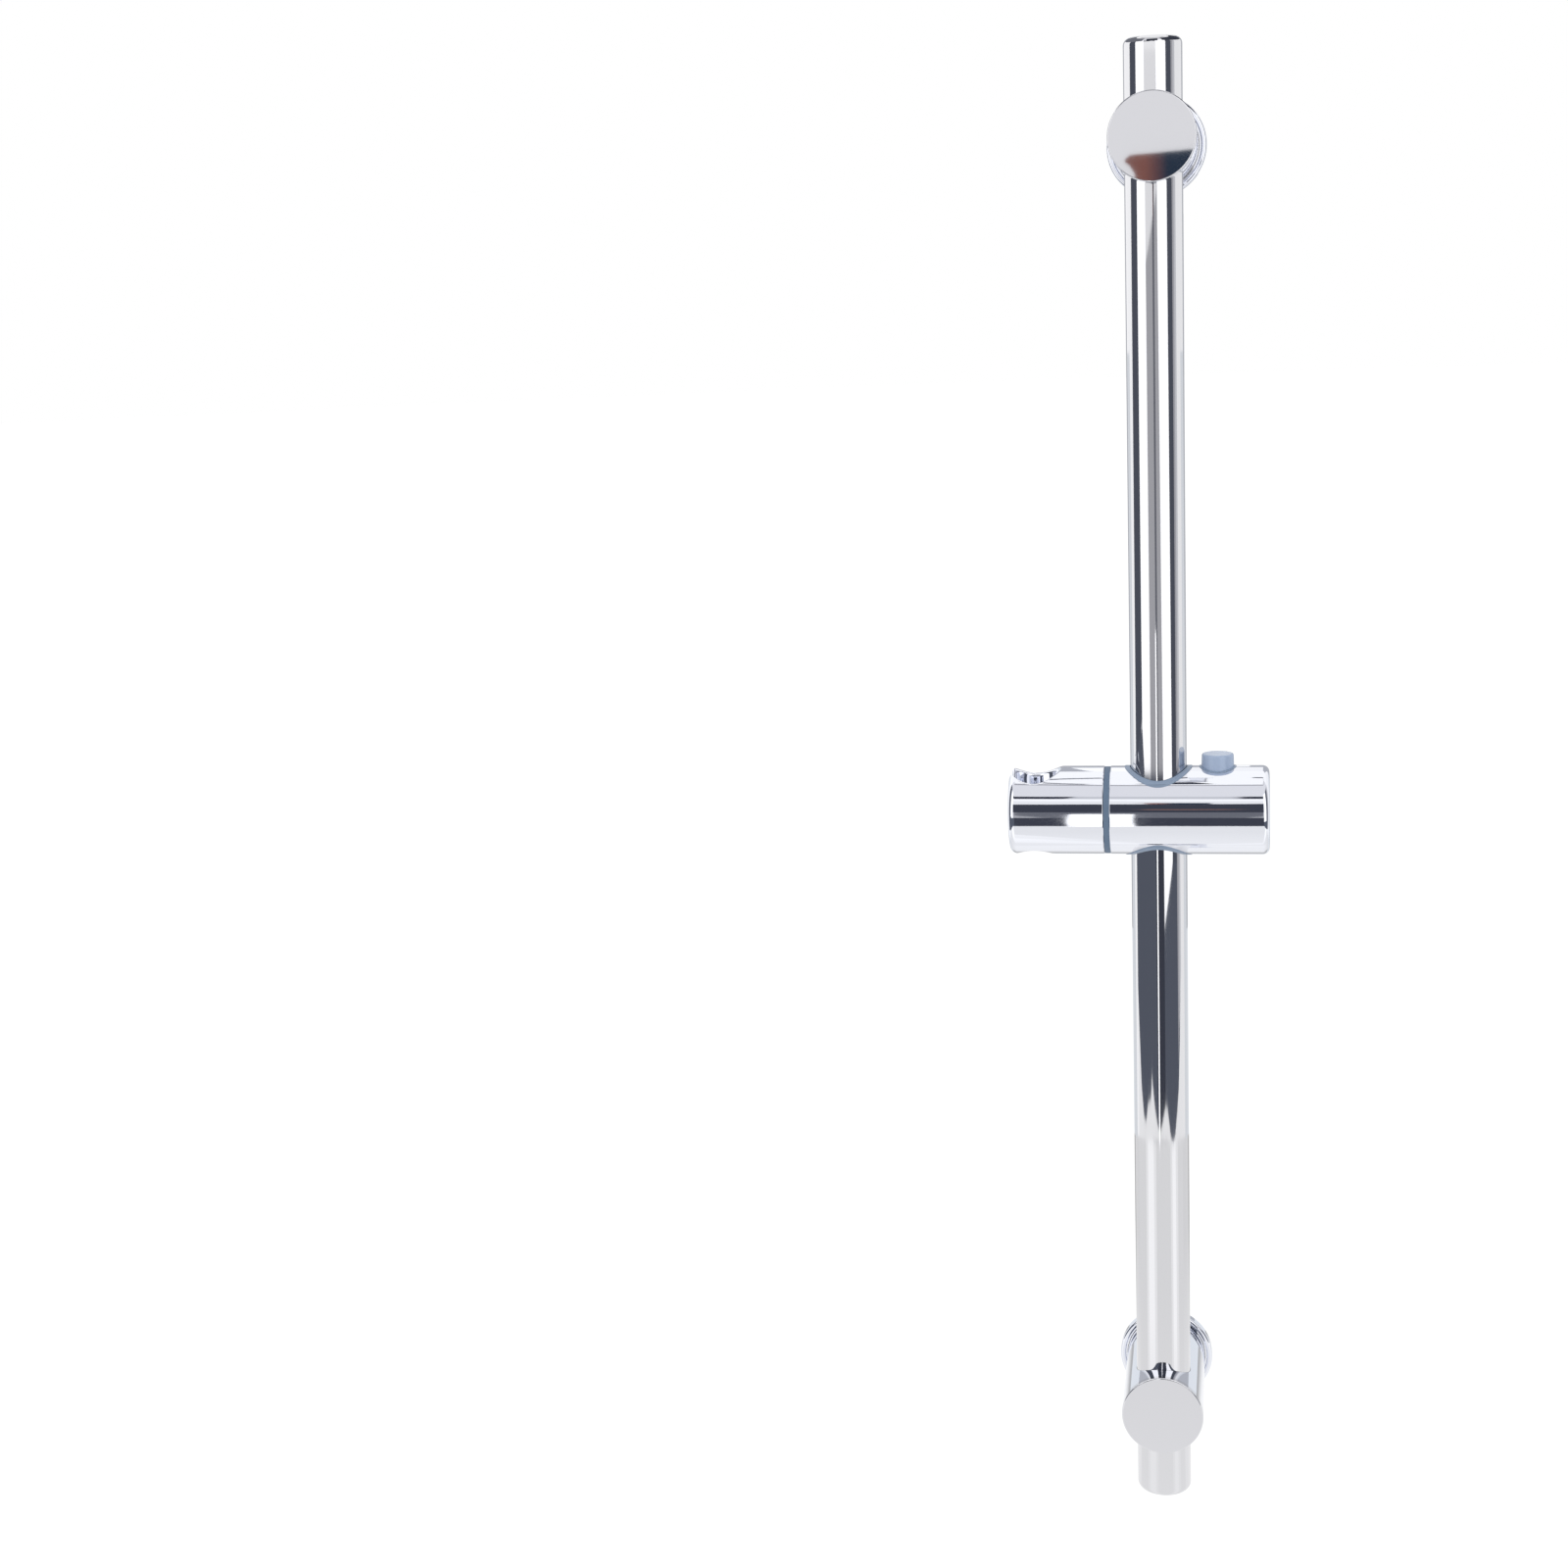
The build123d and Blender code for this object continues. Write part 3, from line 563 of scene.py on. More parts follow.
for side, height in BRACKET_Z.items():
    centre = (0, 0, height)
    outline = [
        (0, HOLLOW_DEPTH), (HOLLOW_R - HOLLOW_CHAMFER, HOLLOW_DEPTH),
        (HOLLOW_R, HOLLOW_DEPTH - HOLLOW_CHAMFER), (HOLLOW_R, 0), (POST_R, 0), (POST_R, FRONT),
        (HOLLOW_R, FRONT), (HOLLOW_R, FRONT - RECESS), (0, FRONT - RECESS),
    ]
    post = turn(f"{side}_bored_post", outline, "-Y", centre)
    cut(post, bar(TUBE_R + SEAT, "Z", (0, TUBE_Y, height), -POST_R - THROUGH, POST_R + THROUGH))
    cut(post, bar(GRUB_R, "Z", (0, GRUB_Y, height), -POST_R - THROUGH, -HOLLOW_R + THROUGH))
    settle_normals(
        post,
        cylinder("-Y", centre, POST_R),
        cylinder("-Y", centre, HOLLOW_R),
        cylinder("Z", (0, TUBE_Y, height), TUBE_R + SEAT),
        flat("-Y", FRONT),
    )
    place_piece(post, "rail", f"{side}_post", chrome)

# %% [markdown]
# A thin cap closes the front of each post. Its face is flat and its edge is rounded by a bevel, and only
# the hairline between cap and post shows that it is a piece of its own.

# %% The face caps
CAP_THICKNESS = -span("upper_face_cap", "Y")[0] - FRONT
FACE_EDGE = 0.6
SPIGOT = 2.6
face = FRONT + CAP_THICKNESS
spigot_r = HOLLOW_R - SEAT
for side, height in BRACKET_Z.items():
    centre = (0, 0, height)
    outline = [
        (0, face), (POST_R, face), (POST_R, FRONT), (spigot_r, FRONT), (spigot_r, FRONT - SPIGOT),
        (spigot_r - POST_WALL, FRONT - SPIGOT), (spigot_r - POST_WALL, FRONT), (0, FRONT),
    ]
    disc = turn(f"{side}_face_disc", outline, "-Y", centre, rims=[(POST_R, face, FACE_EDGE)])
    settle_normals(
        disc,
        cylinder("-Y", centre, POST_R),
        flat("-Y", face),
        rounded_rim("-Y", centre, POST_R - FACE_EDGE, face - FACE_EDGE, FACE_EDGE),
    )
    place_piece(disc, "rail", f"{side}_face_cap", faced[side])

# %% [markdown]
# The rosette is the ring that covers the plate on the wall. Both edges of its front are rounded, and a
# groove sets it off from the post, so that it draws a dark line round the foot of the post.

# %% The rosettes
ROSETTE_R = size("upper_rosette", "X") / 2
ROSETTE_DEPTH = size("upper_rosette", "Y")
RING_INNER = POST_R + 2 * SEAT
GROOVE_WIDTH = 0.65
GROOVE_DEPTH = 1.2
RIM_INNER = RING_INNER + GROOVE_WIDTH
STEP_DEPTH = ROSETTE_DEPTH - GROOVE_DEPTH
RIM_EDGE = 1.1
for side, height in BRACKET_Z.items():
    centre = (0, 0, height)
    outline = [
        (RING_INNER, 0), (ROSETTE_R, 0), (ROSETTE_R, ROSETTE_DEPTH), (RIM_INNER, ROSETTE_DEPTH),
        (RIM_INNER, STEP_DEPTH), (RING_INNER, STEP_DEPTH),
    ]
    rims = [(ROSETTE_R, ROSETTE_DEPTH, RIM_EDGE), (RIM_INNER, ROSETTE_DEPTH, RIM_EDGE)]
    ring = turn(f"{side}_rosette_ring", outline, "-Y", centre, rims=rims)
    settle_normals(
        ring,
        cylinder("-Y", centre, ROSETTE_R),
        cylinder("-Y", centre, RIM_INNER),
        flat("-Y", ROSETTE_DEPTH),
        rounded_rim("-Y", centre, ROSETTE_R - RIM_EDGE, ROSETTE_DEPTH - RIM_EDGE, RIM_EDGE),
        rounded_rim("-Y", centre, RIM_INNER + RIM_EDGE, ROSETTE_DEPTH - RIM_EDGE, RIM_EDGE),
    )
    place_piece(ring, "rail", f"{side}_rosette", chrome)

# %% [markdown]
# The slider's body is a chromed cup, closed at its right end with a generous round. The tube's bushes and
# the button's guide come up through holes in it.

# %% The slider's shell
SHELL_WALL = 2.2
SHELL_FLOOR = 3.0
END_ROUND = 3.0
EDGE_BREAK = 0.4
slider_centre = (0, TUBE_Y, SLIDER_Z)
left, right = span("slider_shell", "X")
BUSH_R = 15.0
GUIDE_R = size("button_guide", "X") / 2
BUTTON_X = middle("push_button", "X")
shell = turn(
    "chrome_shell",
    [
        (0, right), (SLIDER_R, right), (SLIDER_R, left), (SLIDER_R - SHELL_WALL, left),
        (SLIDER_R - SHELL_WALL, right - SHELL_FLOOR), (0, right - SHELL_FLOOR),
    ],
    "X", slider_centre,
    rims=[(SLIDER_R, right, END_ROUND), (SLIDER_R, left, EDGE_BREAK)],
)
cut(shell, bar(BUSH_R + SEAT, "Z", slider_centre, -SLIDER_R - THROUGH, SLIDER_R + THROUGH))
cut(shell, bar(GUIDE_R + SEAT / 2, "Z", (BUTTON_X, TUBE_Y, SLIDER_Z), 0, SLIDER_R + THROUGH))
settle_normals(
    shell,
    cylinder("X", slider_centre, SLIDER_R),
    cylinder("X", slider_centre, SLIDER_R - SHELL_WALL),
    cylinder("Z", slider_centre, BUSH_R + SEAT),
    flat("X", right),
    rounded_rim("X", slider_centre, SLIDER_R - END_ROUND, right - END_ROUND, END_ROUND),
)
place_piece(shell, "slider", "slider_shell", chrome)

# %% [markdown]
# Two bushes carry the tube through the slider. Each is a plain sleeve whose end follows the round of the
# body, a quarter of a millimetre proud. The sleeve is turned, and what it shares with a wide bar along X
# is kept.

# %% The bushes
BUSH_PROUD = 0.25
BUSH_BORE = TUBE_R + 0.25
BUSH_LOW = 7.5
BUSH_HALF_SPAN = 30
# A blank stands this far over the round that it is cut to.
BLANK_OVER = 4
for side, facing in (("upper", 1), ("lower", -1)):
    ends = (facing * BUSH_LOW, facing * (SLIDER_R + BLANK_OVER))
    outline = [(BUSH_BORE, ends[0]), (BUSH_R, ends[0]), (BUSH_R, ends[1]), (BUSH_BORE, ends[1])]
    bush = turn(f"{side}_bush", outline, "Z", slider_centre)
    cut(bush, bar(SLIDER_R + BUSH_PROUD, "X", slider_centre, -BUSH_HALF_SPAN, BUSH_HALF_SPAN), "INTERSECT")
    settle_normals(
        bush,
        cylinder("X", slider_centre, SLIDER_R + BUSH_PROUD),
        cylinder("Z", slider_centre, BUSH_R),
        cylinder("Z", slider_centre, BUSH_BORE),
    )
    place_piece(bush, "slider", f"{side}_rail_bush", acetal)

# %% [markdown]
# The swivel ring parts the body from the holder. It is a step narrower than both, so it reads as a line
# drawn round the chrome.

# %% The swivel ring
left, right = span("swivel_ring", "X")
RING_R = size("swivel_ring", "Z") / 2
RING_SPIGOT = 1.4
BORE_R = 6.1
ring_spigot_r = SLIDER_R - SHELL_WALL - SEAT
swivel = turn(
    "parting_ring",
    [
        (BORE_R, left), (RING_R, left), (RING_R, right - RING_SPIGOT),
        (ring_spigot_r, right - RING_SPIGOT), (ring_spigot_r, right), (BORE_R, right),
    ],
    "X", slider_centre,
)
settle_normals(swivel, cylinder("X", slider_centre, RING_R))
place_piece(swivel, "slider", "swivel_ring", ring_acetal_painted_shade)

# %% [markdown]
# The holder's mouth has a rounded lip that runs along a saddle, where a cone meets a cylinder. A bevel in
# a mesh tears on such an edge, and a CAD kernel rolls a ball along it. So a copy of the CAD mesh is
# merged into one skin, and only its normals are made true, on the cylinder, on the end round and on the
# flats.

# %% The handset holder
def merged_copy(name, node):
    """A copy of a CAD node's mesh with its loose triangles joined."""
    skin = bmesh.new()
    skin.from_mesh(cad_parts[node].data)
    bmesh.ops.remove_doubles(skin, verts=skin.verts[:], dist=1e-6)
    mesh = bpy.data.meshes.new(name)
    skin.to_mesh(mesh)
    skin.free()
    piece = bpy.data.objects.new(name, mesh)
    bpy.context.scene.collection.objects.link(piece)
    return piece


left, right = span("handset_socket", "X")
holder = merged_copy("handset_holder", "handset_socket")
settle_normals(
    holder,
    cylinder("X", slider_centre, SLIDER_R),
    flat("X", left),
    flat("X", right),
    rounded_rim("X", slider_centre, SLIDER_R - END_ROUND, left + END_ROUND, END_ROUND),
    near=0.003,
)
place_piece(holder, "socket", "handset_socket", chrome)

# %% [markdown]
# The push button is slightly tapered, with a flat top and a rounded edge, and it stands in a guide ring
# that follows the round of the body.

# %% The button and its guide
button_centre = (BUTTON_X, TUBE_Y, SLIDER_Z)
top = span("push_button", "Z")[1] - SLIDER_Z
BUTTON_R = 7.2
BUTTON_TOP_R = 7.0
BUTTON_EDGE = 0.8
FLANGE_R = size("push_button", "X") / 2
FLANGE_DOWN = 7.0
FLANGE_TOP = SLIDER_R - FLANGE_DOWN
FLANGE = 1.6
RUNNING_FIT = 0.06
GUIDE_REACH = 60
button = turn(
    "tapered_button",
    [
        (0, top), (BUTTON_TOP_R, top), (BUTTON_R, SLIDER_R), (BUTTON_R, FLANGE_TOP), (FLANGE_R, FLANGE_TOP),
        (FLANGE_R, FLANGE_TOP - FLANGE), (0, FLANGE_TOP - FLANGE),
    ],
    "Z", button_centre, rims=[(BUTTON_TOP_R, top, BUTTON_EDGE)],
)
settle_normals(button, flat("Z", top + SLIDER_Z))
place_piece(button, "button", "push_button", button_acetal_painted_light)

guide = turn(
    "guide_ring",
    [
        (BUTTON_R + RUNNING_FIT, FLANGE_TOP + SEAT / 2), (GUIDE_R, FLANGE_TOP + SEAT / 2),
        (GUIDE_R, SLIDER_R + BLANK_OVER), (BUTTON_R + RUNNING_FIT, SLIDER_R + BLANK_OVER),
    ],
    "Z", button_centre,
)
cut(guide, bar(SLIDER_R + BUSH_PROUD, "X", slider_centre, 0, GUIDE_REACH), "INTERSECT")
settle_normals(guide, cylinder("X", slider_centre, SLIDER_R + BUSH_PROUD))
place_piece(guide, "slider", "button_guide", acetal)

# %% [markdown]
# Chrome has no look of its own, it has the look of the studio. A product photographer stands white cards,
# grey walls and dark gaps round the object, and their edges become the stripes. Here each card is a
# stretch of a drum round the tube, given by its azimuth from the camera's side and its height. A card is
# seen only in reflections: it lights and shades nothing matt, so plain surfaces keep their colour.

# %% Cards round the object
DRUM_R = 591.0
CARD_STEPS = 48
FLOOR_Z = -655.0
GROUND = FLOOR_Z + 1
CEILING_Z = 400.0


def glow(name, code, strength=1.0):
    """A material that shines with one colour."""
    material, tree = new_material(name)
    light = add(tree, "ShaderNodeEmission", {"Color": linear(code), "Strength": strength})
    add(tree, "ShaderNodeOutputMaterial", {"Surface": light.outputs["Emission"]})
    return material


def card(name, material, *edges):
    """A bent board between two edges. Each edge is a row of points: azimuth in degrees, height in mm, and a
    radius in mm where it isn't the drum's."""
    board = bmesh.new()
    rims = []
    for edge in edges:
        stations = np.linspace(0, len(edge) - 1, CARD_STEPS * (len(edge) - 1) + 1)
        columns = zip(*[(*point, DRUM_R)[:3] for point in edge])
        azimuths, heights, radii = [np.interp(stations, range(len(edge)), column) for column in columns]
        around = np.radians(azimuths)
        places = np.column_stack((radii * np.sin(around), TUBE_Y - radii * np.cos(around), heights)) * MM
        points = [board.verts.new(place) for place in places]
        rims += [board.edges.new(pair) for pair in zip(points, points[1:])]
    bmesh.ops.bridge_loops(board, edges=rims)
    mesh = bpy.data.meshes.new(name)
    board.to_mesh(mesh)
    board.free()
    mesh.materials.append(material)
    thing = bpy.data.objects.new(name, mesh)
    bpy.context.scene.collection.objects.link(thing)
    thing.visible_camera = False
    thing.visible_diffuse = False
    thing.visible_transmission = False
    thing.visible_shadow = False
    thing.visible_volume_scatter = False


def upright(name, material, start, end, low, high, radius=DRUM_R):
    """A card with upright sides, from one azimuth to another and from one height to another."""
    bottom, top = [[(start, height, radius), (end, height, radius)] for height in (low, high)]
    card(name, material, bottom, top)


def level_sector(name, material, start, end, height, outer, inner=1):
    """A level card: a sector of a disc round the tube."""
    rims = [[(start, height, radius), (end, height, radius)] for radius in (outer, inner)]
    card(name, material, *rims)


def graded(name, inner, outer, start, end):
    """A floor card's material. Its strength goes from one to another between two distances from the tube in
    mm."""
    material, tree = new_material(name)
    place = add(tree, "ShaderNodeTexCoord").outputs["Object"]
    away = add(tree, "ShaderNodeVectorMath", {
        0: place, 1: (0, TUBE_Y * MM, GROUND * MM),
    }, operation="DISTANCE")
    strength = add(tree, "ShaderNodeMapRange", {
        "Value": away.outputs["Value"],
        "From Min": start * MM, "From Max": end * MM, "To Min": inner, "To Max": outer,
    })
    light = add(tree, "ShaderNodeEmission", {"Strength": strength.outputs["Result"]})
    add(tree, "ShaderNodeOutputMaterial", {"Surface": light.outputs["Emission"]})
    return material


white = glow("card, white", "FFFFFF", 1.45)
bright = glow("card, bright white", "FFFFFF", 1.7)
clean = glow("card, clean white", "FFFFFF", 1.12)
wall_white = glow("wall, white", "F9F9FA")
pale_left = glow("wall, pale, left", "FFFFFF", 1.18)
pale_right = glow("wall, pale, right", "FFFFFF", 1.05)
back_grey = glow("wall, pale blue-grey, back", "EBEFF3")
rim_grey = glow("wall, grey, straight behind", "B9BBC1")
shade_grey = glow("shade, grey", "7C7E86")
light_grey = glow("card, light grey", "ECECEF")
soft_grey = glow("card, soft grey", "D4D5D9")
half_grey = glow("card, half grey", "B0B0B5")
mid_grey = glow("room, mid grey", "B4B4B8")
dim_grey = glow("room, dim grey", "6E7078")
warm_grey = glow("room, warm grey", "9A7468")
gap_grey = glow("card, dark grey", "545863")
panel_grey = glow("panel, dark grey", "5C616D")
dark = glow("panel, dark", "40434E")
print("studio of cards on a drum of radius", DRUM_R, "mm, from", FLOOR_Z, "to", CEILING_Z, "mm")

# %% [markdown]
# First the bright things: walls behind and beside the rail, two tall softboxes in front, and grey gaps
# beside them.

# %% Walls and softboxes
NEARER = DRUM_R - 4
FOOT = -387
BACK_WALL_TOP = -100
card("left wall", pale_left, [(-180, FLOOR_Z), (-106, FLOOR_Z)], [(-180, CEILING_Z), (-94, CEILING_Z)])
card("left gap", gap_grey, [(-106, FOOT), (-66, -350)], [(-94, CEILING_Z), (-69, CEILING_Z)])
card("left softbox", white, [(-66, -350), (-57, FOOT), (-30, FOOT)],
     [(-69, CEILING_Z), (-60, CEILING_Z), (-35, CEILING_Z)])
card("right softbox", white, [(22, -496), (58, -450)], [(7, CEILING_Z), (48, CEILING_Z)])
card("right gap", gap_grey, [(58, -450), (80, -450)], [(48, CEILING_Z), (72, CEILING_Z)])
card("right half shade", half_grey, [(80, -600), (88, -560)], [(72, CEILING_Z), (81, CEILING_Z)])
card("right soft shade", soft_grey, [(88, -560), (97, -528)], [(81, CEILING_Z), (92, CEILING_Z)])
card("right wall", pale_right, [(97, FLOOR_Z), (180, FLOOR_Z)], [(92, CEILING_Z), (180, CEILING_Z)])
upright("lower back wall", back_grey, 120, 240, FLOOR_Z, BACK_WALL_TOP, NEARER)
print("the left softbox reaches down to", FOOT, "mm")

# %% [markdown]
# A mirror's outline shows what stands straight behind it. Grey boards there draw a thin line round tube
# and slider on the white ground. A pale patch before the middle board breaks the line behind the button.
# Darker boards close to the upper end draw the outline of its shoulder, disc and rosette.

# %% Boards behind and above
BEHIND = DRUM_R - 7
BEHIND_LOW = -500
BEHIND_MIDDLE_TOP = -10
SHADE_R = 90
SHADE_LOW = 72
SHADE_HIGH = 170
BEAM_Z = 60
upright("behind, left", rim_grey, -172, -146, BEHIND_LOW, CEILING_Z, BEHIND)
upright("behind, middle", rim_grey, 172, 188, BEHIND_LOW, BEHIND_MIDDLE_TOP, BEHIND)
upright("behind, right", rim_grey, 146, 172, BEHIND_LOW, CEILING_Z, BEHIND)
upright("shade by the upper end, right", dark, 38, 150, SHADE_LOW, SHADE_HIGH, SHADE_R)
upright("shade by the upper end, left", shade_grey, -150, -38, SHADE_LOW, SHADE_HIGH, SHADE_R)
upright("pale patch behind the button", clean, 175.6, 179, -235, -60, BEHIND - 1)
level_sector("beam over the upper end", dark, -20, 20, BEAM_Z, 68, 28)
print("boards stand", BEHIND, "mm behind the tube, and", SHADE_R, "mm from it by the upper end")

# %% [markdown]
# Below the softboxes stands a row of dark panels. Their lower edges are cut in bows, and the lowest point
# touches the floor.

# %% Dark panels
left_bow = [(-108, -528), (-100, -563), (-88, -615), (-75, -638), (-65, -640), (-55, -626), (-42, -623)]
left_bow += [(-37, -605), (-33, -613), (-25, -629), (-12, -644)]
left_top = [(-108, FOOT), (-100, -380), (-88, -370), (-75, -357), (-66, -355), (-57, FOOT)]
left_top += [(azimuth, FOOT) for azimuth in (-42, -37, -33, -25, -12)]
right_bow = [(20, -627), (28, -630), (40, -650), (50, -655), (60, -651), (72, -632), (80, -616), (88, -578)]
right_bow += [(95, -528)]
right_top = [(20, -498), (28, -488), (40, -474), (50, -462), (58, -450), (72, -450), (80, -450), (88, -570)]
right_top += [(95, -520)]
card("left panels", panel_grey, left_bow, left_top)
card("middle panel", dark, [(-12, -644), (0, -645), (20, -627)], [(-12, FOOT), (0, FOOT), (20, FOOT)])
card("right panels", panel_grey, right_bow, right_top)
upright("skirting", pale_right, -110, 100, FLOOR_Z, -500, DRUM_R + 3)
card("white strip", bright, [(-8.2, FLOOR_Z, NEARER), (-3.6, FLOOR_Z, NEARER)],
     [(-7.4, -287, NEARER), (-3.3, -287, NEARER)])
print("dark panels reach down to", min(height for azimuth, height in right_bow), "mm")

# %% [markdown]
# Straight ahead is an opening to the rest of the room: grey near the horizon and dark above it, with a
# warm streak. Over the opening the wall is white. A dark line crosses it on the left and on the right,
# and above that it is grey.

# %% The opening and the wall over it
FAR = 8000.0
ROOM_LEFT = -36
ROOM_RIGHT = 28
HORIZON_Z = 397
ROOM_TOP = 4200
SHELF_R = FAR - 9
rooms = (
    ("room, left part", ROOM_LEFT, -5.8, mid_grey),
    ("room, middle", -5.8, 1.4, dim_grey),
    ("room, right part", 1.4, ROOM_RIGHT, mid_grey),
)
for name, start, end, material in rooms:
    level_sector(name + ", floor", material, start, end, GROUND, FAR, DRUM_R)
    upright(name + ", wall", material, start, end, FLOOR_Z, HORIZON_Z, FAR)
upright("room, upper wall", dark, ROOM_LEFT, ROOM_RIGHT, HORIZON_Z, ROOM_TOP, FAR)
card("room, warm shelf", warm_grey, [(-2.2, 1290, SHELF_R), (0.3, 1350, SHELF_R)],
     [(-2.2, 1520, SHELF_R), (0.3, 1520, SHELF_R)])

WALL_RIGHT = 12
WALL_LEFT = -35
RAIL_LOW = 95
RAIL_HIGH = 173
LINE_LOW = 189
LINE_HIGH = 300
card("wall over the opening", wall_white, [(-34, -42), (-20, -30), (WALL_RIGHT, 5)],
     [(-34, RAIL_LOW), (-20, RAIL_LOW), (WALL_RIGHT, RAIL_LOW)])
card("white rail on that wall", clean, [(-34, RAIL_LOW), (WALL_RIGHT, RAIL_LOW)],
     [(WALL_LEFT, RAIL_HIGH), (WALL_RIGHT, RAIL_HIGH)])
upright("under the lines", light_grey, WALL_LEFT, WALL_RIGHT, RAIL_HIGH, LINE_LOW)
upright("line, left", dark, WALL_LEFT, -8.8, LINE_LOW, LINE_HIGH)
upright("line, middle", soft_grey, -8.8, 3.5, LINE_LOW, LINE_HIGH)
upright("line, right", dark, 3.5, WALL_RIGHT, LINE_LOW, LINE_HIGH)
upright("over the lines", light_grey, WALL_LEFT, WALL_RIGHT, LINE_HIGH, CEILING_Z)
print("room seen through the opening", FAR / 1000, "m away")

# %% [markdown]
# The ceiling and the floor are seen in the slider's upper and lower half, and the floor also in the lower
# tube. Light from the softboxes lies on the floor as two brighter fans, each with a soft edge.

# %% Ceiling and floor, in reflections
SEAM_OUTER = 185
SEAM_INNER = 148
level_sector("ceiling, front", light_grey, -90, 90, CEILING_Z, DRUM_R, SEAM_OUTER)
level_sector("ceiling, seam", half_grey, -90, 90, CEILING_Z, SEAM_OUTER, SEAM_INNER)
level_sector("ceiling, middle", clean, -90, 90, CEILING_Z, SEAM_INNER)
level_sector("ceiling, back", clean, 90, 270, CEILING_Z, DRUM_R)
plain = graded("floor, grey", 0.97, 0.90, 60, 330)
fan_edge = graded("floor, at a fan's edge", 1.01, 1.05, 110, 280)
fan = graded("floor, in a softbox's light", 1.07, 1.22, 110, 280)
back = graded("floor, behind the rail", 1.02, 0.86, 110, 400)
straight_back = graded("floor, straight behind", 1.0, 0.5, 220, 430)
edges = (-110, -68, -58, -32, -22, 38, 46, 62, 72, 100, 146, 214, 250)
lights = (plain, fan_edge, fan, fan_edge, plain, fan_edge, fan, fan_edge, plain, back, straight_back, back)
for start, end, light in zip(edges, edges[1:], lights):
    level_sector(f"floor from {start}", light, start, end, GROUND, DRUM_R)
print("floor in", len(lights), "sectors")

# %% [markdown]
# The upper face disc is a flat mirror, and it shows one small stretch of the opening's upper edge,
# enlarged: warm brown on its left and navy on its right.

# %% What the upper disc sees
def two_tone(name, left_code, right_code, start, end):
    """A card material whose colour goes from one to another between two places along X, in mm."""
    material, tree = new_material(name)
    place = add(tree, "ShaderNodeTexCoord").outputs["Object"]
    along = add(tree, "ShaderNodeSeparateXYZ", {"Vector": place}).outputs["X"]
    share = add(tree, "ShaderNodeMapRange", {"Value": along, "From Min": start * MM, "From Max": end * MM})
    colour = add(tree, "ShaderNodeMix", {
        "Factor": share.outputs["Result"], 6: linear(left_code), 7: linear(right_code),
    }, data_type="RGBA")
    light = add(tree, "ShaderNodeEmission", {"Color": colour.outputs[2]})
    add(tree, "ShaderNodeOutputMaterial", {"Surface": light.outputs["Emission"]})
    return material


furniture = two_tone("furniture, brown to navy", "8A5C54", "2E3B4C", -22, -8)
FURNITURE_R = DRUM_R - 6
low_edge = [(-3.43, 23), (-3.1, 20), (-2.8, 15), (-2.8, -12), (1.8, -12)]
high_edge = [(-3.43, 24.5), (-3.1, 27), (-2.6, 27.4), (-1.7, 27.8), (1.8, 29.3)]
edges = [[(*point, FURNITURE_R) for point in edge] for edge in (low_edge, high_edge)]
card("furniture", furniture, *edges)
print("furniture", FURNITURE_R, "mm from the tube")

# %% [markdown]
# The world is plain white air. The floor is pale and matt, and it shows as nearly white, with the
# object's soft shadow on it. One wide lamp from the upper left gives plastic its soft side and its shade.

# %% Floor, world and lamp
def pale_floor():
    material, tree = new_material("studio floor, matt white")
    ray = add(tree, "ShaderNodeLightPath")
    seen = add(tree, "ShaderNodeMath", {
        0: ray.outputs["Is Camera Ray"], 1: ray.outputs["Is Glossy Ray"],
    }, operation="ADD")
    matt = add(tree, "ShaderNodeBsdfDiffuse", {"Color": linear("F6F6F6")})
    lit = add(tree, "ShaderNodeEmission", {"Strength": 1.25})
    share = add(tree, "ShaderNodeMath", {0: seen.outputs[0], 1: 0.5}, operation="MULTIPLY")
    both = add(tree, "ShaderNodeMixShader", {0: share.outputs[0], 1: matt.outputs[0], 2: lit.outputs[0]})
    add(tree, "ShaderNodeOutputMaterial", {"Surface": both.outputs[0]})
    return material


FLOOR_R = 20000.0
sheet = bmesh.new()
bmesh.ops.create_circle(sheet, cap_ends=True, radius=FLOOR_R * MM, segments=64)
bmesh.ops.translate(sheet, verts=sheet.verts[:], vec=(0, 0, FLOOR_Z * MM))
mesh = bpy.data.meshes.new("floor")
sheet.to_mesh(mesh)
sheet.free()
mesh.materials.append(pale_floor())
floor = bpy.data.objects.new("floor", mesh)
bpy.context.scene.collection.objects.link(floor)

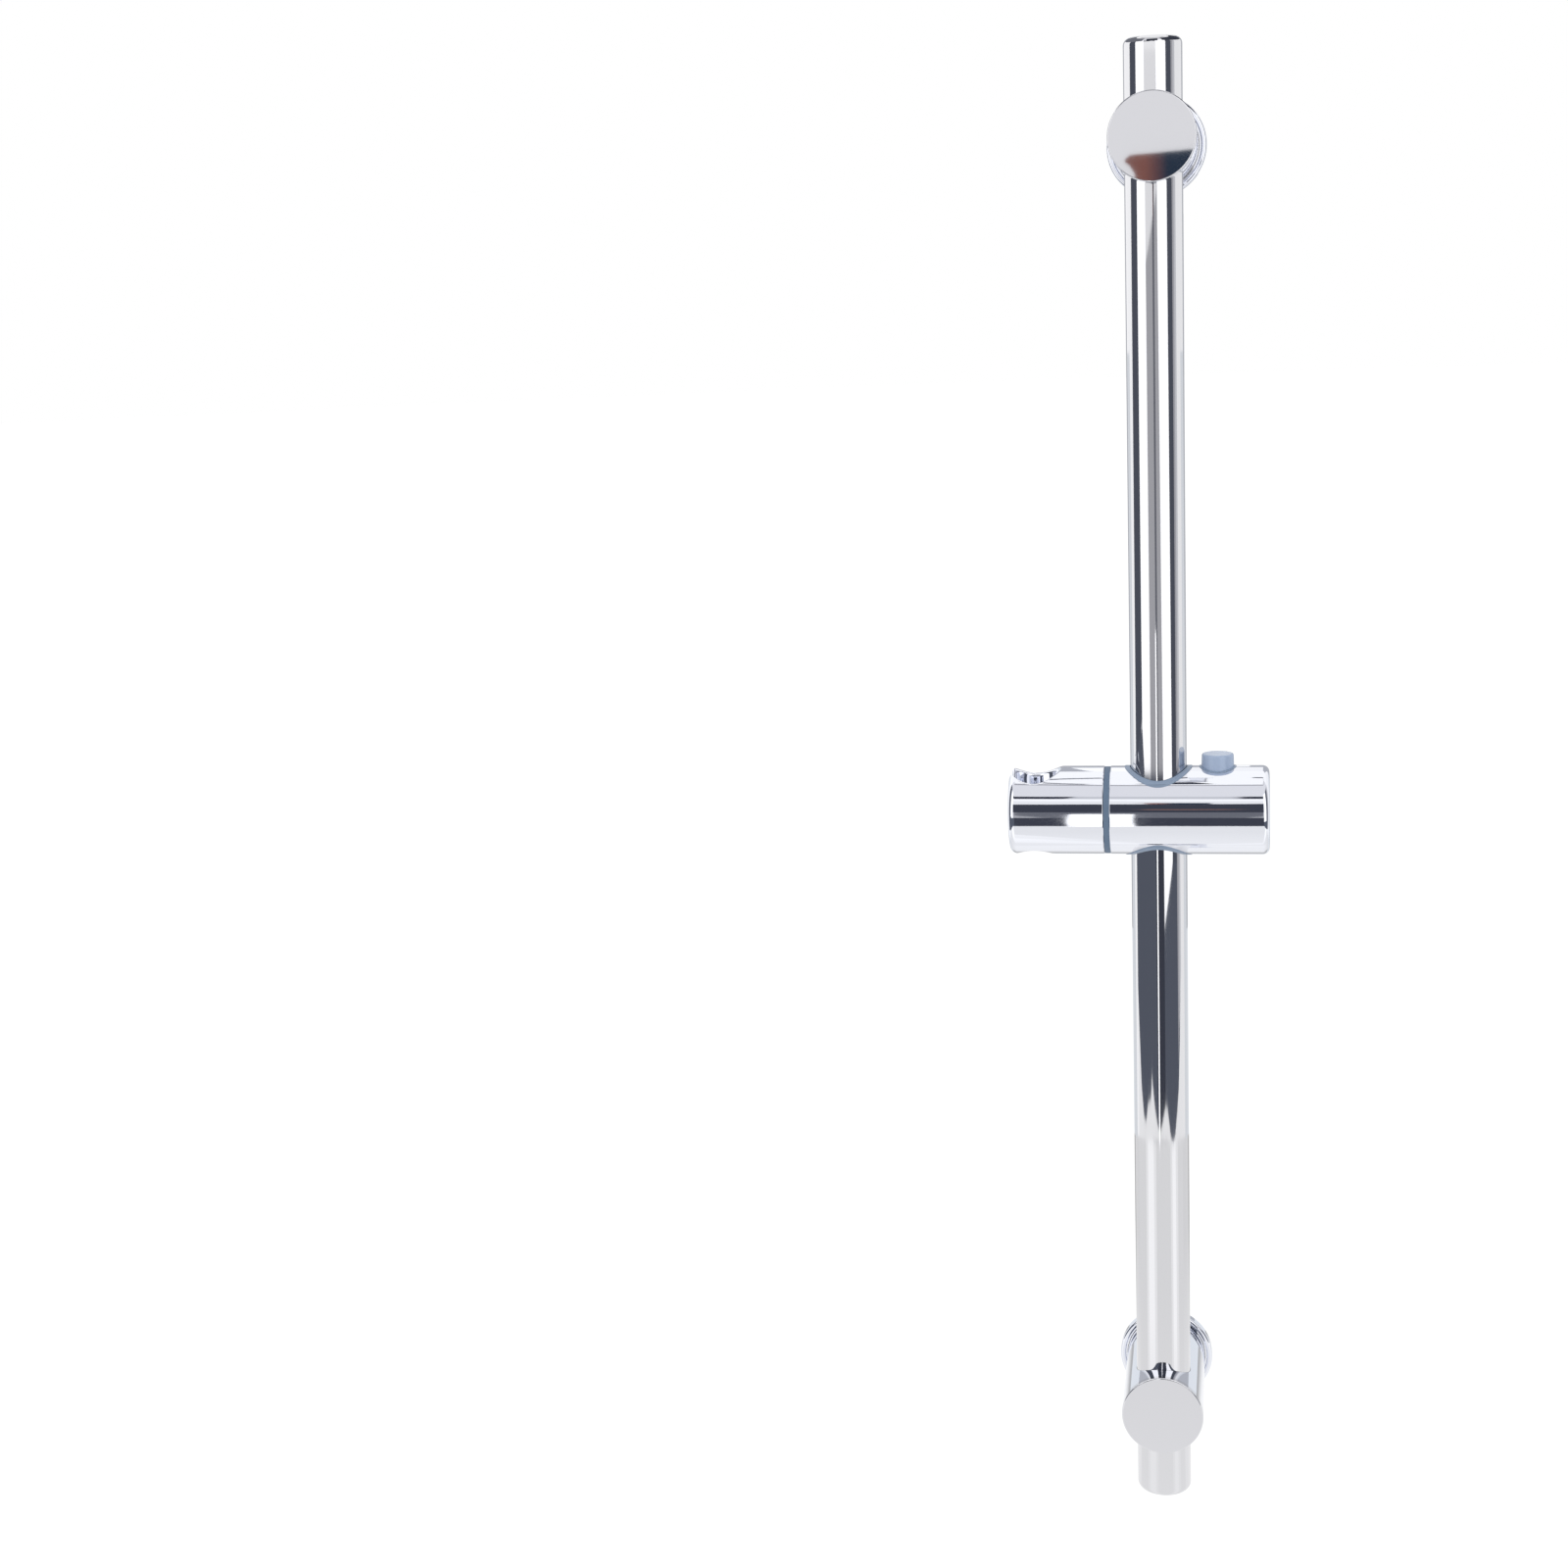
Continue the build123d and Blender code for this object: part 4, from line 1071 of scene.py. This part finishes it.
AIR = 0.92
world = bpy.data.worlds.new("white air")
bpy.context.scene.world = world
world.use_nodes = True
sky = world.node_tree
sky.nodes.clear()
air = add(sky, "ShaderNodeBackground", {"Color": linear("FFFFFF"), "Strength": AIR})
shown = add(sky, "ShaderNodeBackground", {"Color": linear("FFFFFF"), "Strength": 1.0})
ray = add(sky, "ShaderNodeLightPath")
seen = add(sky, "ShaderNodeMath", {
    0: ray.outputs["Is Camera Ray"], 1: ray.outputs["Is Glossy Ray"],
}, operation="ADD")
seen = add(sky, "ShaderNodeMath", {
    0: seen.outputs[0], 1: ray.outputs["Is Transmission Ray"],
}, operation="ADD", use_clamp=True)
mixed = add(sky, "ShaderNodeMixShader", {0: seen.outputs[0], 1: air.outputs[0], 2: shown.outputs[0]})
add(sky, "ShaderNodeOutputWorld", {"Surface": mixed.outputs[0]})

lamp_data = bpy.data.lights.new("wide lamp", "AREA")
lamp_data.shape = "SQUARE"
lamp_data.size = 0.8
lamp_data.energy = 1.2
lamp = bpy.data.objects.new("wide lamp", lamp_data)
bpy.context.scene.collection.objects.link(lamp)
lamp.location = (-0.7, -0.9, 0.6)
aim = Vector((0, TUBE_Y * MM, SLIDER_Z * MM)) - lamp.location
lamp.rotation_euler = aim.to_track_quat("-Z", "Y").to_euler()
lamp.visible_glossy = False
lamp.visible_camera = False
print("floor at", FLOOR_Z, "mm")

# %% [markdown]
# The camera stands a metre in front of the rail, a little below its upper bracket, and looks down along
# it. Its place and lens come from fitting the real sizes of the rail to their places in the photograph.

# %% The camera
CAMERA_AT = Vector((32.5, -1106.3, -70.8)) * MM
YAW = radians(-10.945)
PITCH = radians(11.043)
ROLL = radians(-2.256)
FOCAL_PIXELS = 2410.9
IMAGE_PIXELS = 1600
SENSOR = 36.0

ahead = Vector((sin(YAW) * cos(PITCH), cos(YAW) * cos(PITCH), -sin(PITCH)))
level = Vector((cos(YAW), -sin(YAW), 0))
upward = level.cross(ahead)
across = level * cos(ROLL) + upward * sin(ROLL)
upward = upward * cos(ROLL) - level * sin(ROLL)
lens = bpy.data.cameras.new("camera")
lens.sensor_width = SENSOR
lens.lens = FOCAL_PIXELS * SENSOR / IMAGE_PIXELS
lens.clip_start = 0.01
lens.clip_end = 200
camera = bpy.data.objects.new("camera", lens)
bpy.context.scene.collection.objects.link(camera)
turned = Matrix((across, upward, -ahead)).transposed().to_4x4()
camera.matrix_world = Matrix.Translation(CAMERA_AT) @ turned
bpy.context.scene.camera = camera
bpy.context.scene.view_settings.view_transform = "Standard"
print("lens", round(lens.lens, 2), "mm")
